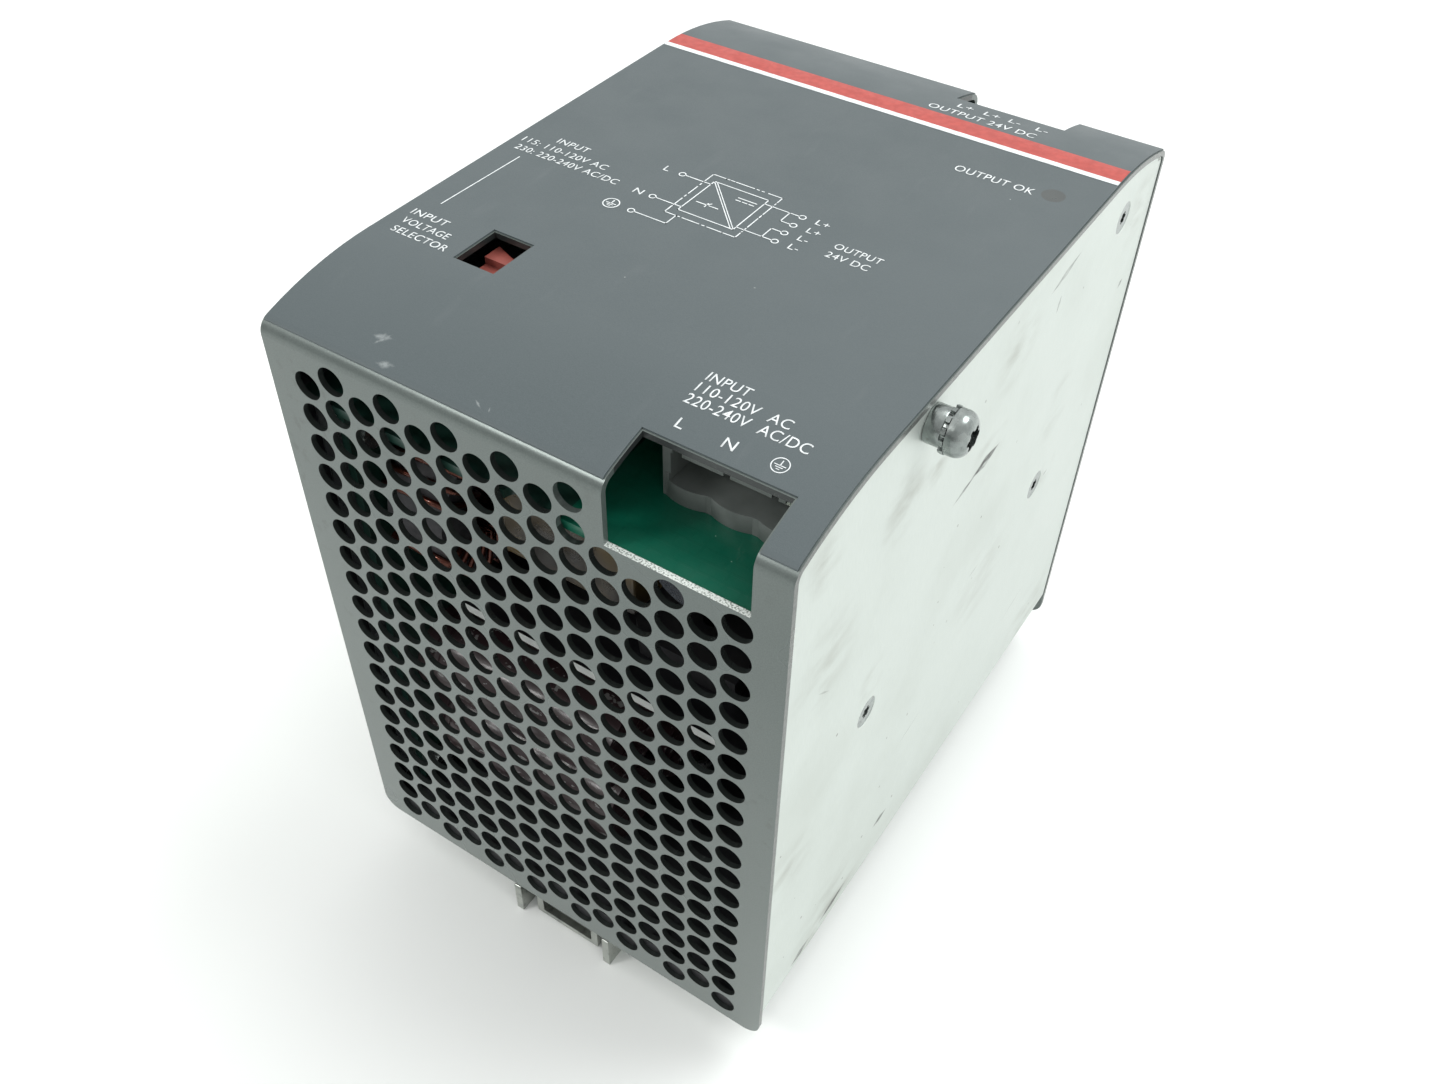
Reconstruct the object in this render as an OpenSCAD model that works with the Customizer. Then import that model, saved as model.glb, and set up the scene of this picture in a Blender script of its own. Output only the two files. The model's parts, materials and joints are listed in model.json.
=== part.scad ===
// Switched-mode power supply for a 35 mm DIN rail, lying on its back.
// +Z points out of the front panel, -Y is the mains input end, +Y is the output end.
// The origin is where the rail sits: the middle of the width, the middle of the rail,
// and the plane where the rail's front face meets the bracket.

/* [Housing] */
// Width over the cover's side edges
body_w = 92; // [90:1:96]
// Height over the two vented walls
body_h = 128; // [126:1:132]
// Distance from the rail seat to the front panel
front_z = 127.8; // [126:0.2:130]
// Rear edge of the vented walls, measured from the rail seat
skirt_z = 1.8; // [1.6:0.1:2.2]
// Outer face of the back plate, measured from the rail seat
back_z = 6.8; // [6.5:0.1:7.5]
// Thickness of the cover's steel sheet
sheet_t = 1; // [0.8:0.1:1.2]
// Thickness of the aluminium chassis
plate_t = 2; // [1.5:0.1:2.5]
// Gap between the cover and the chassis
seam = 0.2; // [0.1:0.05:0.3]
// Half length of the flat middle of the front panel
flat_half = 40.5; // [38:0.5:44]
// Radius of the front panel's two curved ends
end_r = 68; // [60:1:90]
// Outside radius of the fold between front panel and vented wall
fold_r = 2.8; // [2:0.1:3.4]
// Radius of the vented walls' rear corners
corner_r = 3.5; // [2:0.5:4]

/* [Vents] */
// Diameter of a vent hole
hole_d = 5; // [4:0.1:5.2]
// Distance between holes in a column
hole_pitch = 6.05; // [6:0.05:6.1]
// Distance between columns
column_pitch = 5.44; // [5.3:0.02:5.5]
// Number of columns
columns = 15; // [9:2:15]
// Number of holes in a column
rows = 19; // [10:1:19]
// Distance from the front panel to the first hole of an even column
first_hole = 12.2; // [12:0.1:13]

/* [Openings] */
// Depth of the two connector notches in the front panel
notch_depth = 9.5; // [9:0.1:10]
// Distance from the front panel to the notches' sill
notch_drop = 15; // [14.5:0.1:15.5]
// Left edge of the input notch
input_notch_x = 16.6; // [16:0.1:17]
// Left edge of the output notch
output_notch_x = 9.2; // [9:0.1:9.4]
// Centre of the voltage selector's window
selector_at = [-25.4, -34.6];
// Width of the selector's window
selector_win_w = 7.3; // [7:0.1:8]
// Length of the selector's window
selector_win_l = 9; // [8.8:0.1:10]
// Centre of the status lamp
lamp_at = [38.1, 29.9];
// Diameter of the status lamp's window
lamp_d = 4; // [3:0.1:5]

/* [Connectors] */
// Distance between the input poles
input_pitch = 7.62; // [7.6:0.01:7.64]
// Number of input poles
input_poles = 3; // [3:1:3]
// Distance between the output poles
output_pitch = 5.08; // [5.06:0.01:5.1]
// Number of output poles
output_poles = 4; // [4:1:4]
// Side of a square contact pin
pin_side = 0.9; // [0.8:0.05:1]

/* [Rail bracket] */
// Width of the rail over its two lips
rail_w = 35; // [35:1:35]
// Thickness of the rail's lips
rail_lip = 1; // [1:0.1:1]
// Depth of the bracket behind the rail seat
foot_drop = 7.2; // [7:0.1:7.4]
// Width over the bracket's legs
bracket_w = 23.4; // [22:0.2:25]
// Thickness of the bracket's steel
bracket_t = 1.6; // [1.4:0.1:1.8]
// Travel of the latch when it is pulled open
latch_travel = 4; // [3:0.5:4]
// Width of the latch's slotted end
latch_tab_w = 15.2; // [14:0.2:16]

/* [Selector] */
// Travel of the voltage selector's knob
selector_travel = 3.4; // [3:0.1:3.6]

/* [Side screw] */
// Height and depth of the side screw on the right plate
side_screw_at = [-27.5, 123.2];
// Length of the threaded boss
boss_l = 2.6; // [2:0.1:4]
// Diameter of the threaded boss
boss_d = 6; // [5:0.1:6.5]

/* [Boards] */
// Thickness of the circuit boards
board_t = 1.6; // [1.4:0.1:1.8]
// Gap between the left plate and the main board
board_gap = 4.2; // [4:0.1:5]

/* [Hidden] */

$fn = 48;
eps = 0.01;
// How far a cut runs past the face it opens
over = 1;

// Housing, derived
half_w = body_w / 2;
half_h = body_h / 2;
plate_x = half_w - seam;
inner_x = plate_x - plate_t;
inner_z = back_z + plate_t;
panel_z = front_z - sheet_t;
sill_z = front_z - notch_drop;
notch_y = half_h - notch_depth;
input_notch_room = 0.6;
output_notch_room = 0.2;
input_notch_w = input_poles * input_pitch + input_notch_room;
output_notch_w = output_poles * output_pitch + output_notch_room;
plate_fold_r = 2.5;
label_t = 0.25;
label_margin = 0.3;
label_end = 1;
wall_cut = 4;

// Boards, derived
sill_step = 0.5;
front_board_z = sill_z - sill_step - board_t;
front_board_top = front_board_z + board_t;
front_board_half = [42, 62.7];
main_board_x = -inner_x + board_gap;
main_face_x = main_board_x + board_t;
main_board_low = 11;
main_board_high = 106;
main_board_half = 59;
spacer_at = [for (y = [-55, 55], z = [14.5, 101.5]) [y, z]];

// Connectors, derived
header_y = 13.5;
header_l = 11.5;
header_h = 12.2;
header_wall = 1.3;
header_floor = 3.2;
header_roof = 8.2;
header_back = 2.2;
bulge_r = 9;
bulge = 0.65;
bulge_h = 4.4;
input_x = input_notch_x + input_notch_w / 2;
output_x = output_notch_x + output_notch_w / 2;
pin_rise = 6.6;
pin_z = front_board_top + pin_rise;
pin_tail_y = 3;
selector_top = 122.4;
selector_w = 9.6;
selector_l = 19;
knob_slot_w = 4.2;

// Bracket, derived
bracket_y = [-62.8, 50];
leg_y = -64.2;
rail_half = rail_w / 2;
leg_in = bracket_w / 2 - bracket_t;
bracket_base = back_z - bracket_t;
slider_top = 1.2;
slider_t = 1.5;
slider_half = leg_in - 0.5;
slider_end = -62.6;
spring_y = [-46.5, -32];
spring_z = slider_top - slider_t / 2;
spring_d = 4.6;
spring_wire = 0.6;
spring_turns = 7;
post_y = -48;
window_half = 3.3;
guide_at = [-55, -30];
rivet_at = [for (x = [-5.5, 5.5], y = [-22, 42]) [x, y]];
rivet_d = 3.2;
rivet_hole_d = 3.3;

// Heat spreader, derived
spreader_z = 63.2;
spreader_t = 1.8;
spreader_x = -28;
spreader_half = 52;
flange_t = 2.5;
flange_z = 75;
spreader_screw_at = [[-35, 67.1], [31.9, 67.1]];
bracket_screw_at = [47.1, 118.1];
screw_d = 3;
clearance_d = 3.2;
head_d = 5.8;
head_h = 1.6;
head_sunk = 0.1;
recess_d = 1.7;
recess_lobe = 0.7;
recess_h = 1;
boss_shank_d = 4.6;
washer_t = 0.9;
transistor_at = [-36, -12, 12, 36];
transistor = [20.9, 15.9, 5];
transistor_x = -27;
pad_t = 0.5;
transistor_base = spreader_z - pad_t - transistor.z;
pillar_at = [for (x = [-24, 37], y = [-22.5, 22.5]) [x, y]];
clamp_x = [-21, -12];
clamp_t = 1.6;
clamp_half = 46;
clamp_screw_y = [-24, 24];

// Parts on the main board, derived
core_at = [0, 3, 31];
core_w = 44;
core_h = 38;
core_t = 16;
core_leg = 7;
core_x = main_face_x + 5;
bobbin_d = 15.4;
line_choke_at = [0, -43, 84];
line_choke = [26, 14, 12];
line_wire = 1.2;
line_turns = 11;
output_choke_at = [0, 42.4, 34];
output_choke = [30, 15, 14];
output_wire = 1.6;
output_turns = 20;
choke_x = main_face_x + 2;

// Fuse, derived
fuse_at = [-6, -44, 5.4];
fuse_d = 5.2;

// Colours
steel_grey = [0.62, 0.66, 0.66];
bare_aluminium = [0.85, 0.87, 0.86];
zinc = [0.72, 0.74, 0.74];
label_grey = [0.34, 0.37, 0.4];
board_green = [0.04, 0.33, 0.22];
plastic_grey = [0.45, 0.47, 0.46];
plastic_black = [0.08, 0.08, 0.09];
knob_red = [0.65, 0.13, 0.12];
tin = [0.8, 0.8, 0.78];
copper = [0.68, 0.36, 0.2];
ferrite = [0.16, 0.16, 0.17];
box_yellow = [0.85, 0.68, 0.15];
disc_blue = [0.12, 0.3, 0.6];

// ---------- shared shapes ----------

// Rounds to a thousandth of a millimetre, so that neighbouring edges share their ends
function snap(v) = round(v * 1000) / 1000;

// Side profile of the housing, pushed inwards by inset, from the height low upwards
module profile(inset, low) {
    r = end_r - inset;
    b = fold_r - inset;
    edge = half_h - inset;
    cz = front_z - end_r;
    fold_y = edge - b;
    fold_z = snap(cz + sqrt(pow(r - b, 2) - pow(fold_y - flat_half, 2)));
    meet_y = snap(flat_half + (fold_y - flat_half) * r / (r - b));
    translate([-flat_half, low]) square([2 * flat_half, front_z - inset - low]);
    for (m = [0, 1]) mirror([m, 0]) {
        intersection() {
            translate([flat_half, cz]) circle(r, $fn = 256);
            translate([flat_half, low]) square([meet_y - flat_half, front_z]);
        }
        translate([meet_y, low]) square([edge - meet_y, fold_z - low]);
        intersection() {
            translate([fold_y, fold_z]) circle(b);
            translate([meet_y, fold_z]) square(b + over);
        }
    }
}

// Extrudes a profile drawn in Y and Z across the width w, centred on x = 0
module across(w) {
    rotate([90, 0, 90]) linear_extrude(w, center = true) children();
}

// Extrudes a section drawn in X and Z along Y, from y0 to y1
module along(y0, y1) {
    translate([0, y1, 0]) rotate([90, 0, 0]) linear_extrude(y1 - y0) children();
}

// U section with folded corners: half is half the width, z0 the floor, z1 the rim
module u_section(half, z0, z1, t, r) {
    translate([r - half, z0]) square([2 * (half - r), t]);
    for (m = [0, 1]) mirror([m, 0]) {
        if (z1 > z0 + r) translate([half - t, z0 + r]) square([t, z1 - z0 - r]);
        intersection() {
            translate([half - r, z0 + r]) difference() {
                circle(r);
                circle(r - t);
            }
            translate([half - r, z0]) square(r);
        }
    }
}

// Round rod along X from x0 to x1
module rod_x(x0, x1, d) {
    translate([x0, 0, 0]) rotate([0, 90, 0]) cylinder(d = d, h = x1 - x0);
}

// Round rod along Y from y0 to y1
module rod_y(y0, y1, d) {
    translate([0, y1, 0]) rotate([90, 0, 0]) cylinder(d = d, h = y1 - y0);
}

// Round rod along Z from z0 to z1
module rod_z(z0, z1, d) {
    translate([0, 0, z0]) cylinder(d = d, h = z1 - z0);
}

// Box given by its lowest and highest corners
module block(low, high) {
    translate(low) cube(high - low);
}

// The same box on the left (side = -1) or right (side = 1): x0 and x1 are distances from the middle
module side_block(side, x0, x1, y, z) {
    block([min(side * x0, side * x1), y[0], z[0]], [max(side * x0, side * x1), y[1], z[1]]);
}

// Puts its child on the right side plate's outer face and its mirror image on the left one's
module on_both_plates(p) {
    for (m = [0, 1]) mirror([m, 0, 0]) translate([plate_x, p.x, p.y]) children();
}

// Six-lobed recess along X, between x0 and x1
module six_lobe(x0, x1, d, lobe) {
    rod_x(x0, x1, d);
    for (a = [0:60:300]) rotate([a, 0, 0]) translate([0, d / 2, 0]) rod_x(x0, x1, lobe);
}

// Countersunk screw along X whose flat head lies in the plane x = 0, pointing to -X
module flat_screw(length) {
    difference() {
        union() {
            rotate([0, -90, 0]) cylinder(d1 = head_d, d2 = screw_d, h = head_h);
            rod_x(-length, eps - head_h, screw_d);
        }
        six_lobe(-recess_h, over, recess_d, recess_lobe);
    }
}

// Countersunk hole in a side plate whose outer face is the plane x = 0
module screw_hole() {
    head_room = 0.2;
    rotate([0, -90, 0]) cylinder(d1 = head_d + head_room, d2 = clearance_d, h = head_h);
    rod_x(-plate_t - over, over, clearance_d);
}

// ---------- housing ----------

// True for a hole that would cut into the notch from x0 to x0 + w
function in_notch(x, z, x0, w) = let (margin = 2, rim = 0.5)
    x > x0 - margin && x < x0 + w + margin && z + hole_d / 2 > sill_z - rim;

// Vent holes of one wall; x0 and w are the notch that the wall gives room to
module vent_holes(x0, w) {
    for (c = [0:columns - 1], r = [0:rows - 1]) {
        x = (c - (columns - 1) / 2) * column_pitch;
        z = front_z - first_hole - (r - (c % 2) / 2) * hole_pitch;
        if (!in_notch(x, z, x0, w)) translate([x, 0, z]) rod_y(-2 * sheet_t, 2 * sheet_t, hole_d);
    }
}

// Cuts one rear corner of a vented wall round, on the left (side = -1) or the right (side = 1)
module corner_cut(side) {
    size = corner_r + over;
    translate([side * (half_w - corner_r), 0, skirt_z + corner_r]) difference() {
        side_block(side, 0, size, [-wall_cut, wall_cut], [-size, 0]);
        rod_y(-wall_cut - over, wall_cut + over, 2 * corner_r);
    }
}

// Notch of the width w in the front panel and the wall at +Y, widened by grow, down to the height low
module notch_cut(x0, w, grow, low) {
    block([x0 - grow, notch_y - grow, low], [x0 + w + grow, half_h + over, front_z + over]);
}

// Both notches, the selector's window and the lamp's hole
module front_cuts(grow, low, lamp_hole) {
    mirror([0, 1, 0]) notch_cut(input_notch_x, input_notch_w, grow, low);
    notch_cut(output_notch_x, output_notch_w, grow, low);
    window = [selector_win_w + 2 * grow, selector_win_l + 2 * grow, wall_cut];
    translate([selector_at.x, selector_at.y, front_z]) cube(window, center = true);
    translate([lamp_at.x, lamp_at.y, front_z]) rod_z(-2 * sheet_t, 2 * sheet_t, lamp_hole);
}

module cover() {
    color(steel_grey) difference() {
        across(body_w) difference() {
            profile(0, skirt_z);
            profile(sheet_t, skirt_z - over);
        }
        translate([0, -half_h, 0]) vent_holes(input_notch_x, input_notch_w);
        translate([0, half_h, 0]) vent_holes(output_notch_x, output_notch_w);
        front_cuts(0, sill_z, lamp_d - 1);
        for (s = [-1, 1], e = [-1, 1]) translate([0, e * half_h, 0]) corner_cut(s);
    }
}

// Two angles welded under the front panel, where screws in the side plates hold the cover
module cover_brackets() {
    angle_t = 1.2;
    angle_l = 12;
    tab_w = 8;
    below = 4;
    above = 6.2;
    y = [bracket_screw_at.x - angle_l / 2, bracket_screw_at.x + angle_l / 2];
    z = bracket_screw_at.y;
    color(zinc) for (s = [-1, 1]) difference() {
        union() {
            side_block(s, inner_x - angle_t, inner_x, y, [z - below, z + above]);
            side_block(s, inner_x - tab_w, inner_x, y, [z + above - angle_t, z + above]);
        }
        translate([s * inner_x, bracket_screw_at.x, z]) rod_x(-2 * angle_t, 2 * angle_t, clearance_d);
        across(body_w) difference() {
            translate([0, z]) square([half_h, half_h]);
            profile(sheet_t, 0);
        }
    }
}

module chassis() {
    low = back_z + plate_fold_r;
    end_y = half_h - sheet_t - seam;
    color(bare_aluminium) difference() {
        union() {
            along(-end_y, end_y) u_section(plate_x, back_z, low, plate_t, plate_fold_r);
            for (m = [0, 1]) mirror([m, 0, 0]) translate([plate_x - plate_t / 2, 0, 0])
                across(plate_t) profile(sheet_t + seam, low);
        }
        for (p = spreader_screw_at) translate([plate_x, p.x, p.y]) screw_hole();
        on_both_plates(bracket_screw_at) screw_hole();
        translate([0, side_screw_at.x, side_screw_at.y])
            rod_x(inner_x - over, half_w + over, boss_shank_d);
        for (p = rivet_at) translate([p.x, p.y, 0]) rod_z(back_z - over, inner_z + over, rivet_hole_d);
        for (p = spacer_at) translate([0, p.x, p.y]) rod_x(-half_w - over, over - inner_x, clearance_d);
    }
}

// Printed film over the front panel, from fold to fold
module front_label() {
    label_half = half_h - label_end;
    low = 100;
    color(label_grey) difference() {
        across(body_w - 2 * label_margin) intersection() {
            difference() {
                profile(-label_t, low);
                profile(0, low - over);
            }
            translate([-label_half, low]) square([2 * label_half, half_h]);
        }
        front_cuts(label_margin, low, lamp_d);
    }
}

module lamp_window() {
    color([0.25, 0.27, 0.25]) translate([lamp_at.x, lamp_at.y, front_z])
        cylinder(d = lamp_d, h = label_t);
}

module lamp() {
    base = [4, 4, 6];
    dome_d = 3;
    dome_z = base.z + 4;
    color([0.55, 0.75, 0.5]) translate([lamp_at.x, lamp_at.y, front_board_top]) {
        translate([-base.x / 2, -base.y / 2, 0]) cube(base);
        rod_z(base.z, dome_z, dome_d);
        translate([0, 0, dome_z]) intersection() {
            sphere(d = dome_d);
            cylinder(d = dome_d + over, h = dome_d);
        }
    }
}

// ---------- rail bracket and latch ----------

// Side outline of a bracket leg, drawn in Y and Z
module leg_outline() {
    hook = 2.6;
    hook_rise = 3;
    lip_gap = 0.3;
    slot_run = 3;
    toe_top = skirt_z - 0.4;
    chamfer = 7;
    hook_y = rail_half - hook;
    rear = -foot_drop - over;
    difference() {
        union() {
            translate([bracket_y[0], -foot_drop])
                square([bracket_y[1] - bracket_y[0], back_z + foot_drop]);
            translate([leg_y, -foot_drop]) square([bracket_y[0] - leg_y + over, foot_drop + toe_top]);
        }
        translate([-rail_half - slot_run, rear])
            square([slot_run + rail_half + hook_y, foot_drop + over]);
        translate([0, -rail_lip - lip_gap]) square([rail_half + lip_gap, rail_lip + lip_gap]);
        polygon([[hook_y - over, rear], [rail_half + over, rear],
                 [hook_y, hook_rise - foot_drop], [hook_y - over, hook_rise - foot_drop]]);
        polygon([[bracket_y[1] + over, rear], [bracket_y[1] + over, over],
                 [bracket_y[1] - chamfer, rear]]);
    }
}

module din_bracket() {
    lug_t = 1;
    lug_l = 4;
    lug_w = 1.6;
    play = 0.3;
    bend_r = bracket_t + 0.6;
    post_half = 2;
    lug_low = [slider_top + play, slider_top - slider_t - play - lug_t];
    color(zinc) {
        difference() {
            intersection() {
                mirror([0, 0, 1]) along(leg_y - over, bracket_y[1] + over)
                    u_section(bracket_w / 2, -back_z, foot_drop, bracket_t, bend_r);
                across(bracket_w + over) leg_outline();
            }
            for (p = rivet_at) translate([p.x, p.y, 0])
                rod_z(bracket_base - over, back_z + over, rivet_hole_d);
        }
        // lugs that guide the latch, above and below it
        for (s = [-1, 1], y = guide_at, z = lug_low)
            side_block(s, leg_in - lug_w, leg_in, [y, y + lug_l], [z, z + lug_t]);
        // post that the spring pushes against
        block([-post_half, post_y, slider_top - slider_t - over],
              [post_half, spring_y[0], bracket_base + eps]);
    }
}

module bracket_rivets() {
    head = [5.6, 0.9];
    tail = [4.8, 1.6];
    color(tin) for (p = rivet_at) translate([p.x, p.y, 0]) {
        rod_z(bracket_base - head[1], bracket_base, head[0]);
        rod_z(bracket_base - eps, inner_z + eps, rivet_d);
        rod_z(inner_z, inner_z + tail[1], tail[0]);
    }
}

module din_latch() {
    nose_y = -rail_half - 0.4;
    nose_l = 2.5;
    nose_z = -rail_lip - 0.5;
    nose_tip = 1;
    nose_h = 3;
    tab_t = 1.5;
    tab_l = 6;
    tab_low = 0.4 - foot_drop;
    slot = [12, 4.6];
    slot_low = 1.8 - foot_drop;
    window_room = 0.2;
    low = slider_top - slider_t;
    color(zinc) difference() {
        union() {
            block([-slider_half, slider_end + tab_l, low], [slider_half, nose_y, slider_top]);
            block([-latch_tab_w / 2, slider_end, low],
                  [latch_tab_w / 2, slider_end + tab_l + eps, slider_top]);
            block([-latch_tab_w / 2, slider_end, tab_low],
                  [latch_tab_w / 2, slider_end + tab_t, low + eps]);
            block([-slider_half, nose_y - tab_t, nose_z - nose_h], [slider_half, nose_y, low + eps]);
            across(2 * slider_half) polygon([
                [nose_y - tab_t, nose_z], [nose_y + nose_l, nose_z], [nose_y + nose_l, nose_z - nose_tip],
                [nose_y, nose_z - nose_h], [nose_y - tab_t, nose_z - nose_h]]);
        }
        block([-slot[0] / 2, slider_end - over, slot_low],
              [slot[0] / 2, slider_end + 2 * tab_t, slot_low + slot[1]]);
        block([-window_half, post_y - window_room, low - over],
              [window_half, spring_y[1], slider_top + over]);
    }
}

// Points of one ring of the spring's wire at the turn fraction u
function ring(u, sides) = let (a = 360 * spring_turns * u, r = (spring_d - spring_wire) / 2,
    y = spring_y[0] + spring_wire / 2 + u * (spring_y[1] - spring_y[0] - spring_wire))
    [for (k = [0:sides - 1]) let (b = 360 * k / sides, q = r + spring_wire / 2 * cos(b))
        [q * cos(a), y + spring_wire / 2 * sin(b), spring_z + q * sin(a)]];

module latch_spring() {
    sides = 8;
    steps = 16;
    rings = spring_turns * steps;
    points = [for (i = [0:rings]) each ring(i / rings, sides)];
    faces = [
        [for (k = [0:sides - 1]) k],
        for (i = [0:rings - 1], k = [0:sides - 1])
            let (a = i * sides + k, b = i * sides + (k + 1) % sides) [a, a + sides, b + sides, b],
        [for (k = [sides - 1:-1:0]) rings * sides + k]
    ];
    color(tin) polyhedron(points, faces);
}

// ---------- screws on the side plates ----------

module side_boss() {
    bore_d = 3.3;
    shank_play = 0.1;
    color(zinc) translate([0, side_screw_at.x, side_screw_at.y]) difference() {
        union() {
            rod_x(plate_x, plate_x + boss_l, boss_d);
            rod_x(inner_x, plate_x + eps, boss_shank_d - shank_play);
        }
        rod_x(inner_x - over, plate_x + boss_l + over, bore_d);
    }
}

module lock_washer() {
    washer_d = 7.2;
    web_d = 6;
    teeth = 12;
    tooth_half = 0.45;
    tooth_step = 0.1;
    bore_d = 4.2;
    color(zinc) translate([plate_x + boss_l, side_screw_at.x, side_screw_at.y]) difference() {
        union() {
            rod_x(0, washer_t, web_d);
            for (i = [0:teeth - 1]) rotate([i * 360 / teeth, 0, 0])
                block([tooth_step, 0, -tooth_half], [washer_t - tooth_step, washer_d / 2, tooth_half]);
        }
        rod_x(-over, washer_t + over, bore_d);
    }
}

module side_screw() {
    pan_d = 7;
    pan_h = 2.9;
    rim = 0.9;
    recess = [1.2, 2.9, 1];
    shank_d = 3.2;
    length = 10;
    color(zinc) translate([plate_x + boss_l + washer_t, side_screw_at.x, side_screw_at.y]) difference() {
        union() {
            rotate([0, 90, 0]) rotate_extrude() pan_outline(pan_d / 2, pan_h, rim);
            rod_x(-length, eps, shank_d);
        }
        six_lobe(recess[0], pan_h + over, recess[1], recess[2]);
    }
}

// Half section of a pan head: radius r, height h, rounded above the rim
module pan_outline(r, h, rim) {
    round_r = h - rim;
    square([r, rim]);
    translate([0, rim]) square([r - round_r, round_r]);
    intersection() {
        translate([r - round_r, rim]) circle(round_r);
        translate([r - round_r, rim]) square(h);
    }
}

module plate_screws() {
    spreader_screw_l = 7;
    bracket_screw_l = 6;
    color(zinc) {
        for (p = spreader_screw_at) translate([plate_x - head_sunk, p.x, p.y])
            flat_screw(spreader_screw_l);
        on_both_plates(bracket_screw_at) translate([-head_sunk, 0, 0]) flat_screw(bracket_screw_l);
    }
}

// ---------- front board and what it carries ----------

// X of pole i in a row of poles centred on x
function pole_x(x, i, poles, pitch) = x + (i - (poles - 1) / 2) * pitch;

// Solder holes of a header whose pins go through the board at y
module pin_holes(x, y, poles, pitch) {
    hole = 1.6;
    for (i = [0:poles - 1]) translate([pole_x(x, i, poles, pitch), y, 0])
        rod_z(front_board_z - over, front_board_top + over, hole);
}

module front_board() {
    tail_y = half_h - header_y - header_l - pin_tail_y + 1;
    end_notch_d = 4;
    color(board_green) difference() {
        block([-front_board_half.x, -front_board_half.y, front_board_z],
              [front_board_half.x, front_board_half.y, front_board_top]);
        pin_holes(input_x, -tail_y, input_poles, input_pitch);
        pin_holes(output_x, tail_y, output_poles, output_pitch);
        for (p = pillar_at) translate([p.x, p.y, 0])
            rod_z(front_board_z - over, front_board_top + over, clearance_d);
        for (s = [-1, 1]) translate([0, s * front_board_half.y, 0])
            rod_z(front_board_z - over, front_board_top + over, end_notch_d);
    }
}

// Shrouded plug header on the front board, opening towards -Y
module header(poles, pitch) {
    w = poles * pitch;
    y0 = header_y - half_h;
    z0 = front_board_top;
    bulge_gap = 0.4;
    key_half = pitch * 0.37;
    key_depth = 0.8;
    key_gap = pitch * 0.14;
    lip_z = z0 + header_roof + 0.6;
    slot_depth = 2.2;
    end_key = [0.3, 1.9];
    pin_room = pin_side / 2 + 0.05;
    difference() {
        union() {
            block([-w / 2, y0, z0], [w / 2, y0 + header_l, z0 + header_h]);
            for (i = [0:poles - 1]) translate([pole_x(0, i, poles, pitch), y0 + bulge_r - bulge, z0])
                intersection() {
                    cylinder(r = bulge_r, h = bulge_h);
                    block([bulge_gap - pitch / 2, -bulge_r - over, 0],
                          [pitch / 2 - bulge_gap, -over, bulge_h]);
                }
        }
        block([header_wall - w / 2, y0 - over, z0 + header_floor],
              [w / 2 - header_wall, y0 + header_l - header_back, z0 + header_roof]);
        for (i = [0:poles - 2]) translate([pole_x(0, i + 0.5, poles, pitch) - key_gap / 2, 0, 0]) {
            block([-key_half, y0 - over, lip_z], [key_half, y0 + key_depth, z0 + header_h + over]);
            block([key_half, y0 - over, z0 + header_roof - over],
                  [key_half + key_gap, y0 + slot_depth, z0 + header_h + over]);
        }
        for (m = [0, 1]) mirror([m, 0, 0])
            block([w / 2 - header_wall - end_key[1], y0 - over, z0 + header_roof - over],
                  [w / 2 - header_wall - end_key[0], y0 + slot_depth, z0 + header_h + over]);
        for (i = [0:poles - 1]) translate([pole_x(0, i, poles, pitch), 0, 0])
            block([-pin_room, y0, pin_z - pin_room], [pin_room, y0 + header_l + over, pin_z + pin_room]);
    }
}

// Angled contact pins of a header, from the socket to below the board
module header_pins(poles, pitch) {
    half = pin_side / 2;
    tip_y = header_y - half_h + 2;
    tail_y = header_y - half_h + header_l + pin_tail_y - 1;
    tail_l = 1.4;
    for (i = [0:poles - 1]) translate([pole_x(0, i, poles, pitch), 0, 0]) {
        block([-half, tip_y, pin_z - half], [half, tail_y + half, pin_z + half]);
        block([-half, tail_y - half, front_board_z - tail_l], [half, tail_y + half, pin_z]);
    }
}

module input_header() {
    color(plastic_grey) translate([input_x, 0, 0]) header(input_poles, input_pitch);
}

module input_pins() {
    color(tin) translate([input_x, 0, 0]) header_pins(input_poles, input_pitch);
}

module output_header() {
    color(plastic_grey) translate([output_x, 0, 0]) rotate(180) header(output_poles, output_pitch);
}

module output_pins() {
    color(tin) translate([output_x, 0, 0]) rotate(180) header_pins(output_poles, output_pitch);
}

module selector_body() {
    slot = [knob_slot_w / 2, 6.3, 4];
    color(plastic_black) translate([selector_at.x, selector_at.y, 0]) difference() {
        block([-selector_w / 2, -selector_l / 2, front_board_top],
              [selector_w / 2, selector_l / 2, selector_top]);
        block([-slot.x, -slot.y, selector_top - slot.z], [slot.x, slot.y, selector_top + over]);
    }
}

// Sliding knob with a wedge-shaped grip, at rest at the far end of its travel
module selector_knob() {
    knob = [6.8, 8.8, 1.2];
    rest_y = 0.6;
    grip_h = 1.3;
    grip_y = [0.7, 1.6, 4.3];
    stem = [knob_slot_w / 2 - 0.3, 3, 3.4];
    low = selector_top + 0.3;
    edge = knob.x / 2;
    color(knob_red) translate([selector_at.x, selector_at.y + rest_y, 0]) {
        block([-stem.x, -stem.y, selector_top - stem.z], [stem.x, stem.y, low + eps]);
        block([-edge, -knob.y / 2, low], [edge, knob.y / 2, low + knob.z]);
        translate([0, 0, low + knob.z - eps]) linear_extrude(grip_h)
            polygon([[-edge, grip_y[0]], [edge, grip_y[0]], [edge, grip_y[1]], [-edge, grip_y[2]]]);
    }
}

// ---------- main board and what holds it ----------

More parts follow.
